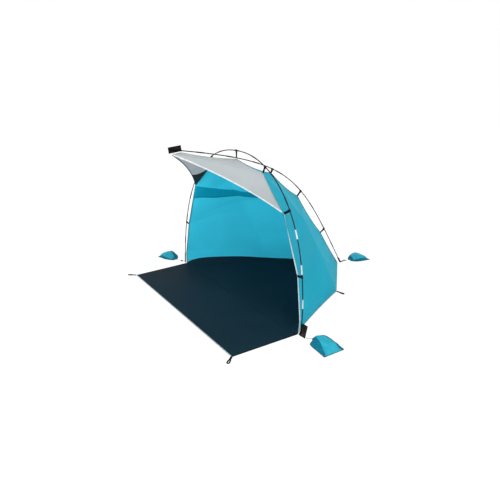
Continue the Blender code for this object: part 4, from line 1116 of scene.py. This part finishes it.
def boundEdges(name, matrix, corners):
    # binding round the web's four edges
    low0, high0, high1, low1 = corners
    edge = []
    for start, finish, steps in ((low0, high0, 8), (high0, high1, 12), (high1, low1, 8), (low1, low0, 12)):
        edge += [start.lerp(finish, step / steps) for step in range(steps)]
    middle = sum(edge, Vector()) / len(edge)
    inside = []
    for index, point in enumerate(edge):
        run = edge[(index + 1) % len(edge)] - edge[index - 1]
        way = Vector((run.z, 0, -run.x)).normalized()
        inside.append(way if way.dot(middle - point) > 0 else -way)
    inset = pocket["binding"] / 2 - pocket["bindingOver"]
    centres = [matrix @ (point + way * inset) for point, way in zip(edge, inside)]
    return tapeAlong(name, centres, [matrix.to_3x3() @ way for way in inside], pocket["binding"],
                     pocket["web"] + pocket["bindingOver"], "tent", strapBlack, closed=True)


def pocketPiece(name, matrix, corners, length, node):
    # a doubled web with bound edges; corners go closed end low, closed end high, mouth high, mouth low
    low0, high0, high1, low1 = corners = [Vector((x, 0, z)) for x, z in corners]

    def webPlace(a, b):
        point = low0.lerp(high0, a).lerp(low1.lerp(high1, a), b)
        pucker = math.sin(a * 9 + b * 4) * pocket["pucker"] * min(a, 1 - a, b, 1 - b) * 4
        return matrix @ (point + Vector((0, pucker, 0)))

    bm = bentGrid(pocket["columns"], pocket["rows"], webPlace,
                  lambda corner: (corner.y * length, corner.x * pocket["uvWidth"]))
    web = addPiece(name + "Web", meshFrom(name, bm), "tent", pocketBlack)
    thicken(web, pocket["web"] - pocket["webInset"])
    softened = web.modifiers.new("rounded", "BEVEL")
    softened.width, softened.segments, softened.limit_method = pocket["rounding"], 2, "ANGLE"
    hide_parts(node)
    boundEdges(name + "Binding", matrix, corners)
    outer, bore = pocket["bore"] + pocket["wall"], pocket["bore"]
    chamfer, lipInset = pocket["chamfer"], pocket["lipInset"]
    profile = [(0, 0), (outer - chamfer, 0), (outer, chamfer), (outer, length - pocket["lip"]),
               (outer - lipInset, length), (bore, length), (bore, pocket["floor"]),
               (0, pocket["floor"] - lipInset)]
    turnedPiece(name + "Sleeve", profile, matrix, "tent", strapBlack)


def pocketFrame(route, atStart, inset, length, flapWay):
    foot = route.at(0.0 if atStart else route.length)
    inner = route.at(length if atStart else route.length - length)
    way = (inner - foot).normalized()
    return frameMatrix(foot + way * (inset - pocket["floor"]), flapWay, way)


(footIn, footOut), (headIn, headOut) = pocket["footLow"], pocket["footHigh"]
hoopInset = pocket["lift"] + pocket["floor"]
spineInset = hoopInset + pocket["rearLift"] + (pocket["bore"] + pocket["wall"]) * 2 / 3
footCorners = [(footIn, 0), (footOut, 0), (headOut, pocket["length"]), (headIn, pocket["length"])]
leftFlap = Vector((-math.cos(pocket["leftTurn"]), math.sin(pocket["leftTurn"]), 0))
for side, atStart, flapWay in (("Right", True, rightward), ("Left", False, leftFlap)):
    pocketPiece("footPocket" + side, pocketFrame(hoop, atStart, hoopInset, pocket["length"], flapWay),
                footCorners,
                pocket["length"], "foot_pocket_" + side.lower())
half = pocket["rearHalf"]
rearCorners = [(-half, 0), (half, 0), (half, pocket["rearLength"]), (-half, pocket["rearLength"])]
pocketPiece("footPocketRear", pocketFrame(spine, True, spineInset, pocket["rearLength"], rightward),
            rearCorners,
            pocket["rearLength"], "foot_pocket_rear")
tipFrame = pocketFrame(spine, False, spineInset, pocket["length"], up)
cosT, sinT = math.cos(pocket["tipTilt"]), math.sin(pocket["tipTilt"])
tipLow, tipHigh = -pocket["tipBelow"], pocket["tipWidth"] - pocket["tipBelow"]
openEnd = pocket["length"]
tipCorners = [(x * cosT + (z - openEnd) * sinT, openEnd + (z - openEnd) * cosT - x * sinT)
              for x, z in ((tipLow, 0), (tipHigh, 0), (tipHigh, openEnd), (tipLow, openEnd))]
pocketPiece("tipPocket", tipFrame, tipCorners, openEnd, "tip_pocket")

# the tongue that ties the visor to the tip pocket
tongue = {"share": 0.28, "reach": 0.04, "inset": 0.004, "lift": 0.0005, "width": 0.012, "thickness": 0.0016}
nearShare = 1 - tongue["share"]
(lowX, lowZ), (highX, highZ) = tipCorners[0], tipCorners[3]
tongueTop = tipFrame @ Vector((lowX * nearShare + highX * tongue["share"] + tongue["inset"], 0,
                               lowZ * nearShare + highZ * tongue["share"]))
tongueEnd = visorPoint(0.0, tongue["reach"]) + up * tongue["lift"]
tonguePoints = sampled(lambda share: tongueTop.lerp(tongueEnd, share), 5)
tapeAlong("visorTongue", tonguePoints, [Vector((0, 1, 0.2))] * len(tonguePoints), tongue["width"],
          tongue["thickness"], "tent", hemSilver)
print("pockets built")


# Stake loops

loop = {"tab": 0.020, "tabLength": 0.045, "eyeWidth": 0.030, "eyeLength": 0.052, "hole": 0.006,
        "lyingThickness": 0.0055, "rearThickness": 0.0016, "rearTab": 0.072, "tabStart": 0.0004, "lap": 0.004,
        "eyeLayer": 0.94, "bridgeLayer": 0.97, "bridgeWidth": 0.012, "bridgeIn": 0.002, "frontGap": 0.0005,
        "sideGap": 0.0034, "rearGap": -0.0110}


def stakeLoop(name, corner, angle, gap, body, node, tabLength, thickness):
    # webbing folded into an eye and sewn to itself at the tab
    eyeStart, eyeEnd = gap + tabLength, gap + tabLength + loop["eyeLength"]
    band = (loop["eyeWidth"] - loop["hole"]) / 2
    radius = (loop["eyeWidth"] - band) / 2
    matrix = Matrix.Translation(corner) @ Matrix.Rotation(angle, 4, "Z")
    lift = Vector((0, 0, thickness / 2))
    bm = bmesh.new()

    def addBand(points, ways, width, height):
        tapeAlong(name, placed(matrix, [point + lift for point in points]),
                  [matrix.to_3x3() @ way for way in ways],
                  width, height, body, strapBlack, join=bm)

    across, along = Vector((0, 1, 0)), rightward
    tab = [along * (gap + loop["tabStart"] + (tabLength + loop["lap"]) * step / 8) for step in range(9)]
    addBand(tab, [across] * 9, loop["tab"], thickness)
    # out along one side of the eye, round its end and back along the other
    start, far, legSteps, endSteps = eyeStart + loop["lap"], eyeEnd - loop["eyeWidth"] / 2, 13, 16
    path = [Vector((start + (far - start) * step / legSteps, -radius, 0)) for step in range(legSteps)]
    ways = [across] * legSteps
    for step in range(endSteps + 1):
        turn = -math.pi / 2 + math.pi * step / endSteps
        path.append(Vector((far + radius * math.cos(turn), radius * math.sin(turn), 0)))
        ways.append(Vector((-math.cos(turn), -math.sin(turn), 0)))
    path += [Vector((far - (far - start) * (step + 1) / legSteps, radius, 0)) for step in range(legSteps)]
    ways += [-across] * legSteps
    addBand(path, ways, band, thickness * loop["eyeLayer"])
    bridge = [Vector((eyeStart + loop["bridgeIn"], -loop["tab"] / 2 + loop["tab"] * step / 6,
                      0)) for step in range(7)]
    addBand(bridge, [along] * 7, loop["bridgeWidth"], thickness * loop["bridgeLayer"])
    piece = addPiece(name, weldedMesh(name, bm), body, strapBlack, sharpAngle=50)
    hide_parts(node)


sideX, sideY = canopy["sideCorner"]
lying, standing = (loop["tabLength"], loop["lyingThickness"]), (loop["rearTab"], loop["rearThickness"])
for name, corner, turn, gap, body, (tabLength, thickness) in (
        ("front_right", (ground["frontX"], -ground["depth"], 0), -50, loop["frontGap"], "door_mat", lying),
        ("front_left", (-ground["frontX"], -ground["depth"], 0), 230, loop["frontGap"], "door_mat", lying),
        ("side_right", (sideX, sideY, 0), 8, loop["sideGap"], "tent", lying),
        ("side_left", (-sideX, sideY, 0), 172, loop["sideGap"], "tent", lying),
        ("rear", (0, tent["spineFootY"], 0), 100, loop["rearGap"], "tent", standing)):
    stakeLoop("pegLoop_" + name, Vector(corner), math.radians(turn), gap, body, "stake_loop_" + name,
              tabLength,
              thickness)
print("stake loops built")


# Sandbags and tethers

bag = {"length": 0.240, "halfWidth": 0.105, "height": 0.080, "edge": 0.014, "tieHeight": 0.015,
       "binding": 0.009,
       "rings": 48, "sides": 56, "panelCells": 8, "sideCurve": 1.6,
       "gather": 0.0036, "gatherFade": 0.12, "folds": 12, "lowest": 0.0012,
       "undercut": 2.6, "heldBelow": -0.4, "mouthRings": 4, "seamLift": 0.0012, "rimHeight": 0.0026,
       "bindingLayer": 0.0030, "seam": 0.0030, "seamLayer": 0.0045, "tie": 0.009, "tieLayer": 0.0032,
       "tieShare": 0.02, "tiePlace": 0.006, "tieFoot": 0.0014, "tieSteps": 24, "fill": 0.6}
crown = {"rise": 0.07, "side": 0.93, "sidePower": 0.82, "soft": 0.045}
sand = {"along": 5, "across": 24, "height": 0.0026, "mouthFade": 0.2, "endFade": 0.15}
# share of the length, then shares of half width, crown height and edge height
fullProfile = ((0.00, 0.19, 0.40, 0.20), (0.05, 0.42, 0.54, 0.30), (0.14, 0.72, 0.68, 0.60),
               (0.28, 0.88, 0.76, 0.90),
               (0.42, 0.94, 0.73, 1.00), (0.60, 0.97, 0.60, 0.90), (0.78, 0.99, 0.42, 0.70),
               (0.92, 1.00, 0.22, 0.45),
               (1.00, 1.00, 0.09, 0.30))
slimProfile = ((0.00, 0.19, 0.36, 0.20), (0.05, 0.33, 0.38, 0.30), (0.14, 0.54, 0.42, 0.50),
               (0.28, 0.74, 0.54, 0.80),
               (0.45, 0.90, 0.78, 1.00), (0.60, 0.97, 0.90, 0.90), (0.78, 0.99, 0.72, 0.70),
               (0.92, 1.00, 0.34, 0.45),
               (1.00, 1.00, 0.07, 0.30))
roundProfile = ((0.00, 0.19, 0.44, 0.20), (0.05, 0.40, 0.58, 0.30), (0.14, 0.66, 0.74, 0.50),
                (0.28, 0.84, 0.86, 0.80), (0.45, 0.92, 0.88, 1.00), (0.60, 0.97, 0.80, 0.90),
                (0.78, 0.99, 0.56, 0.70), (0.92, 1.00, 0.26, 0.45), (1.00, 1.00, 0.07, 0.30))
# for each side of a bag: where its shape breaks and where its painted shade starts, at its mouth and far end
bagSides = {"right": {1: ((0.62, 0.95), (0.38, 0.82)), -1: ((0.22, 0.93), (0.22, 0.93))},
            "left": {1: ((0.35, 0.93), (0.80, 0.95)), -1: ((0.24, 0.85), (0.14, 0.62))},
            "rear": {1: ((0.45, 0.93), (0.34, 0.80)), -1: ((0.45, 0.93), (0.82, 0.95))}}


def bagSizes(profile, share):
    # half width, crown height and edge height at a share of the length
    shares = [alongTable([(row[0], row[column]) for row in profile], share) for column in (1, 2, 3)]
    return shares[0] * bag["halfWidth"], shares[1] * bag["height"], shares[2] * bag["edge"]


def sideShare(pair, share):
    return pair[0] + (pair[1] - pair[0]) * share ** bag["sideCurve"]


def bagHeight(reach, crease, crownHeight, edge):
    # a gently crowned top and steep sides that meet at a soft crease
    top = 1 - crown["rise"] * (reach / crease) ** 2
    side = crown["side"] * (max(1 - reach, 0.0) / (1 - crease)) ** crown["sidePower"]
    soft = crown["soft"]
    both = -soft * math.log(math.exp(-top / soft) + math.exp(-side / soft))
    return edge + (crownHeight - edge) * max(both, 0.0)


def acrossBag(index, shadedPanels):
    # equal cells over each side panel and over the top, so that a column runs along each seam
    half, cells = bag["sides"] // 2, bag["panelCells"]
    if index <= cells:
        return 1 - (1 - shadedPanels[1]) * index / cells
    if index >= half - cells:
        return -1 + (1 - shadedPanels[-1]) * (half - index) / cells
    return shadedPanels[1] - (shadedPanels[1] + shadedPanels[-1]) * (index - cells) / (half - 2 * cells)


def bagRing(side, share, profile, seed):
    # (y, z) round the bag, from one seam over the top to the other and back underneath
    half, crownHeight, edge = bagSizes(profile, share)
    creases, shadedPanels = [{sign: sideShare(bagSides[side][sign][kind],
                                        share) for sign in (-1, 1)} for kind in (0, 1)]
    ring = []
    for index in range(bag["sides"]):
        turn = math.tau * index / bag["sides"]
        rise = math.sin(turn)
        if not 0 < index < bag["sides"] // 2:
            ring.append((half * math.cos(turn), edge * max(0.0, 1 + rise * bag["undercut"])))
            continue
        reach = acrossBag(index, shadedPanels)
        y, z = half * reach, bagHeight(abs(reach), creases[1 if reach > 0 else -1], crownHeight, edge)
        gather = math.exp(-share / bag["gatherFade"]) * math.cos(turn * bag["folds"] + seed) * bag["gather"]
        fade = min(share / sand["mouthFade"], 1.0, (1 - share) / sand["endFade"])
        lumps = noise.noise(Vector((share * sand["along"], y * sand["across"], seed))) * sand["height"] * fade
        ring.append((y, max(z + (gather + lumps) * rise, bag["lowest"])))
    return ring, edge


puff = {"quality": 6, "mass": 0.25, "stretch": 12, "shear": 4, "bending": 0.02, "slack": 0.045,
        "pressure": 2.0,
        "frames": 20, "farthest": 0.007, "lowest": 0.0008}


def puffUp(piece, held):
    # cloth pressed out from inside with its seams held; the result, capped, stays in the mesh
    group = piece.vertex_groups.new(name="held")
    group.add(held, 1.0, "REPLACE")
    cloth = piece.modifiers.new("puff", "CLOTH")
    settings = cloth.settings
    settings.vertex_group_mass = "held"
    settings.quality, settings.mass = puff["quality"], puff["mass"]
    settings.tension_stiffness = settings.compression_stiffness = puff["stretch"]
    settings.shear_stiffness, settings.bending_stiffness = puff["shear"], puff["bending"]
    settings.shrink_min = -puff["slack"]
    settings.use_pressure = True
    settings.uniform_pressure_force = puff["pressure"]
    settings.effector_weights.gravity = 0.0
    cloth.point_cache.frame_end = puff["frames"]
    for step in range(1, puff["frames"] + 1):
        scene.frame_set(step)
    solved = piece.evaluated_get(bpy.context.evaluated_depsgraph_get())
    places = [vertex.co.copy() for vertex in solved.data.vertices]
    piece.modifiers.remove(cloth)
    piece.vertex_groups.clear()
    scene.frame_set(1)
    for vertex, place in zip(piece.data.vertices, places):
        move = place - vertex.co
        vertex.co += move * min(1.0, puff["farthest"] / max(move.length, 1e-9))
        vertex.co.z = max(vertex.co.z, puff["lowest"])


def bagTrim(side, profile, matrix, edges, seams):
    body = "bag_" + side
    sideWay, endWay = matrix.to_3x3() @ Vector((0, 1, 0)), matrix.to_3x3() @ rightward
    # bound seam round both sides and the far end
    farSteps = 10
    farEdge = [edges[1][-1].lerp(edges[-1][-1], step / farSteps) for step in range(1, farSteps)]
    rim = edges[1] + farEdge + edges[-1][::-1]
    ways = [sideWay] * (len(edges[1]) - 1) + [sideWay + endWay] + [endWay] * len(farEdge)
    ways += [endWay - sideWay] + [-sideWay] * (len(edges[-1]) - 1)
    binding = tapeAlong("sandbagBinding_" + side, rim, ways, bag["binding"], bag["bindingLayer"], body,
                        bindingTeal)
    # corded seams between the top and the side panels
    for sign, word in ((-1, "Near"), (1, "Far")):
        line = seams[sign][bag["mouthRings"]:-2]
        seam = tapeAlong("sandbagSeam" + word + "_" + side, line, [up] * len(line), bag["seam"],
                         bag["seamLayer"],
                         body, bindingTeal)
    # drawn collar at the mouth
    half, crownHeight, edge = bagSizes(profile, bag["tieShare"])
    middle = crownHeight / 2
    collar = []
    for index in range(bag["tieSteps"]):
        turn = math.tau * index / bag["tieSteps"]
        collar.append((bag["tiePlace"], half * math.cos(turn),
                       middle + (middle - bag["tieFoot"]) * math.sin(turn)))
    tie = tapeAlong("sandbagTie_" + side, placed(matrix, collar), [endWay] * len(collar), bag["tie"],
                    bag["tieLayer"],
                    body, bindingTeal, closed=True)


def buildBag(side, mouth, angle, seed, profile):
    matrix = Matrix.Translation(mouth) @ Matrix.Rotation(angle, 4, "Z")
    rings, sides, cells = bag["rings"], bag["sides"], bag["panelCells"]
    halfCount = sides // 2
    bm = bmesh.new()
    loops, edges, seams, held = [], {-1: [], 1: []}, {-1: [], 1: []}, []
    for ring in range(rings + 1):
        share = ring / rings
        outline, edge = bagRing(side, share, profile, seed)
        row = [bm.verts.new(corner) for corner in placed(matrix,
                                                         [(share * bag["length"], y, z) for y, z in outline])]
        for index in range(sides):
            underneath = math.sin(math.tau * index / sides) < bag["heldBelow"]
            if index in (0, halfCount) or ring in (0, rings) or underneath:
                held.append(ring * sides + index)
        for sign, rimIndex, seamIndex in ((1, 0, cells), (-1, halfCount, halfCount - cells)):
            rim = (share * bag["length"], outline[rimIndex][0], max(edge, bag["rimHeight"]))
            edges[sign].append(matrix @ Vector(rim))
            seams[sign].append(row[seamIndex].co + up * bag["seamLift"])
        loops.append(row)
    for ring, (near, far) in enumerate(zip(loops, loops[1:])):
        for index in range(sides):
            after = (index + 1) % sides
            face = bm.faces.new((near[index], near[after], far[after], far[index]))
            # painted shade: the side panels, the underside and the gathered mouth take the darker cloth,
            # standing for the shade on the bag's steep sides and in its mouth
            face.material_index = int(ring < bag["mouthRings"] or not cells <= index < halfCount - cells)
    bm.faces.new(loops[0])
    bm.faces.new(loops[-1])
    piece = addPiece("sandbagCloth_" + side, weldedMesh("sandbag" + side, bm), "bag_" + side, bagCloth,
                     sharpAngle=70)
    piece.data.materials.append(bagSideCloth)
    puffUp(piece, held)
    finer = piece.modifiers.new("finer", "SUBSURF")
    finer.levels = finer.render_levels = 1
    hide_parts("sandbag_" + side)
    bagTrim(side, profile, matrix, edges, seams)


tether = {"radius": 0.0015, "height": 0.012, "sag": 0.006, "gap": 0.0006, "endRun": 0.008, "tipShare": 0.35,
          "steps": 24, "clearance": 0.0008, "toggleHeight": 0.0082}
# half of the toggle's outline as (radius, distance from its middle)
toggleHalf = ((0.0, 0.013), (0.005, 0.013), (0.0075, 0.010))
toggleWaist = 0.0078


def tetherPoint(start, knot, end, share):
    point = start.lerp(knot, share)
    drop = tether["sag"] * math.sin(math.pi * share) ** 2
    point.z = start.z + (end.z - start.z) * (1 - math.cos(math.pi * share)) / 2 - drop
    return point


def buildToggle(side, centre, along):
    centre = Vector((centre.x, centre.y, max(centre.z, tether["toggleHeight"])))
    profile = [(radius, -place) for radius, place in toggleHalf] + [(toggleWaist, 0.0)]
    profile += toggleHalf[::-1]
    toggle = turnedPiece("tetherToggle_" + side, profile, frameMatrix(centre, up, along), "bag_" + side,
                         clipPlastic)
    return toggle


def buildTether(side, start, mouth, angle, knotAt=None):
    way = Vector((math.cos(angle), math.sin(angle), 0))
    end = mouth - way * tether["gap"] + up * bag["tieHeight"]
    knot = end - way * tether["endRun"]
    points = sampled(lambda share: tetherPoint(start, knot, end, share), tether["steps"])
    points += [knot.lerp(end, 0.5), end]
    curve = bpy.data.curves.new("tetherLine_" + side, "CURVE")
    curve.dimensions = "3D"
    curve.bevel_depth = tether["radius"]
    curve.bevel_resolution = 4
    curve.use_fill_caps = True
    line = curve.splines.new("POLY")
    line.points.add(len(points) - 1)
    for target, point in zip(line.points, points):
        target.co = (*point, 1.0)
    # the sewn end is thin, so that it swings clear of the pocket
    line.points[0].radius = tether["tipShare"]
    curve.materials.append(cordGrey)
    piece = bpy.data.objects.new("tetherLine_" + side, curve)
    scene.collection.objects.link(piece)
    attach(piece, "bag_" + side)
    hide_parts("tether_" + side)
    if knotAt is not None:
        along = (points[knotAt + 1] - points[knotAt - 1]).normalized()
        buildToggle(side, points[knotAt], along)


rightFlap = footOut + tether["height"] * (headOut - footOut) / pocket["length"] + tether["clearance"]
channelReach = pocket["bore"] + pocket["wall"] + tether["clearance"]
footAngle = tent["spineFootAngle"]
rearReach = channelReach / math.sin(footAngle) - tether["height"] / math.tan(footAngle)
# the pole's foot, where the tether starts from it, the bag's mouth from it, its turn, its folds and its shape
bags = {"right": ((tent["halfSpan"], 0), (rightFlap, 0), (0.118, 0.050), -2, 1.3, fullProfile),
        "left": ((-tent["halfSpan"], 0), (-channelReach, 0), (-0.145, -0.068), 187, 4.1, slimProfile),
        "rear": ((0, tent["spineFootY"]), (0, rearReach), (0.029, 0.140), 84, 7.7, roundProfile)}
for side, (foot, pivot, offset, turn, seed, profile) in bags.items():
    mouth = Vector((foot[0] + offset[0], foot[1] + offset[1], 0))
    buildBag(side, mouth, math.radians(turn), seed, profile)
    start = Vector((foot[0] + pivot[0], foot[1] + pivot[1], tether["height"]))
    buildTether(side, start, mouth, math.radians(turn), 8 if side == "left" else None)
print("sandbags and tethers built")


# Camera, light and ground

view = {"place": (3.5676, -2.2329, 1.9244), "yaw": 0.967268, "pitch": 0.332363, "lens": 31.334,
        "sensor": 36.0}
camera = bpy.data.objects.new("camera", bpy.data.cameras.new("camera"))
scene.collection.objects.link(camera)
camera.data.lens, camera.data.sensor_width = view["lens"], view["sensor"]
yaw, pitch = view["yaw"], view["pitch"]
forward = Vector((-math.sin(yaw) * math.cos(pitch), math.cos(yaw) * math.cos(pitch), -math.sin(pitch)))
rightWay = Vector((math.cos(yaw), math.sin(yaw), 0))
turn = Matrix((rightWay, rightWay.cross(forward), -forward)).transposed()
camera.matrix_world = Matrix.Translation(view["place"]) @ turn.to_4x4()
scene.camera = camera

studio = {"ambient": 0.74, "floorSize": 30, "floorDrop": 0.0004, "floorTone": 0.9, "floorRoughness": 0.9,
          "floorGlow": 1.10, "floorShare": 0.86}


def seenRays(tree):
    # rays that come straight, or off something shiny, from the camera
    path = addNode(tree, "ShaderNodeLightPath")
    shiny = mathNode(tree, "MAXIMUM", path.outputs["Is Glossy Ray"], path.outputs["Is Transmission Ray"])
    return mathNode(tree, "MAXIMUM", path.outputs["Is Camera Ray"], shiny)


world = bpy.data.worlds.new("studio")
scene.world = world
world.use_nodes = True
worldTree = world.node_tree
lit = mathNode(worldTree, "MULTIPLY", seenRays(worldTree), 1.0 - studio["ambient"])
feed(worldTree, worldTree.nodes["Background"],
     {"Strength": mathNode(worldTree, "ADD", lit, studio["ambient"]),
                                                "Color": (1, 1, 1, 1)})


def softLamp(name, place, target, size, power):
    lamp = bpy.data.lights.new(name, "AREA")
    lamp.shape, lamp.size, lamp.energy = "DISK", size, power
    holder = bpy.data.objects.new(name, lamp)
    scene.collection.objects.link(holder)
    holder.location = place
    holder.rotation_euler = (Vector(target) - Vector(place)).to_track_quat("-Z", "Y").to_euler()


softLamp("keyLamp", (4.5, -1.0, 5.5), (0, 0.3, 0.5), 3.0, 130)
softLamp("frontLamp", (0.5, -6.0, 2.6), (0, 0.6, 0.5), 3.0, 110)

bm = bmesh.new()
bmesh.ops.create_grid(bm, x_segments=1, y_segments=1, size=studio["floorSize"])
floorMesh = meshFrom("studioFloor", bm)
studioFloor = bpy.data.objects.new("studioFloor", floorMesh)
studioFloor.location = (0, 0, -studio["floorDrop"])
scene.collection.objects.link(studioFloor)
floorMaterial, floorTree, floorShader = startMaterial("paleFloor")
tone = studio["floorTone"]
feed(floorTree, floorShader, {"Base Color": (tone, tone, tone, 1), "Roughness": studio["floorRoughness"]})
glow = addNode(floorTree, "ShaderNodeEmission")
glow.inputs["Strength"].default_value = studio["floorGlow"]
mixer = addNode(floorTree, "ShaderNodeMixShader")
feed(floorTree, mixer, {"Fac": mathNode(floorTree, "MULTIPLY", seenRays(floorTree), studio["floorShare"]),
                        1: floorShader.outputs[0], 2: glow.outputs[0]})
feed(floorTree, floorTree.nodes["Material Output"], {"Surface": mixer.outputs[0]})
floorMesh.materials.append(floorMaterial)
scene.view_settings.view_transform = "Standard"
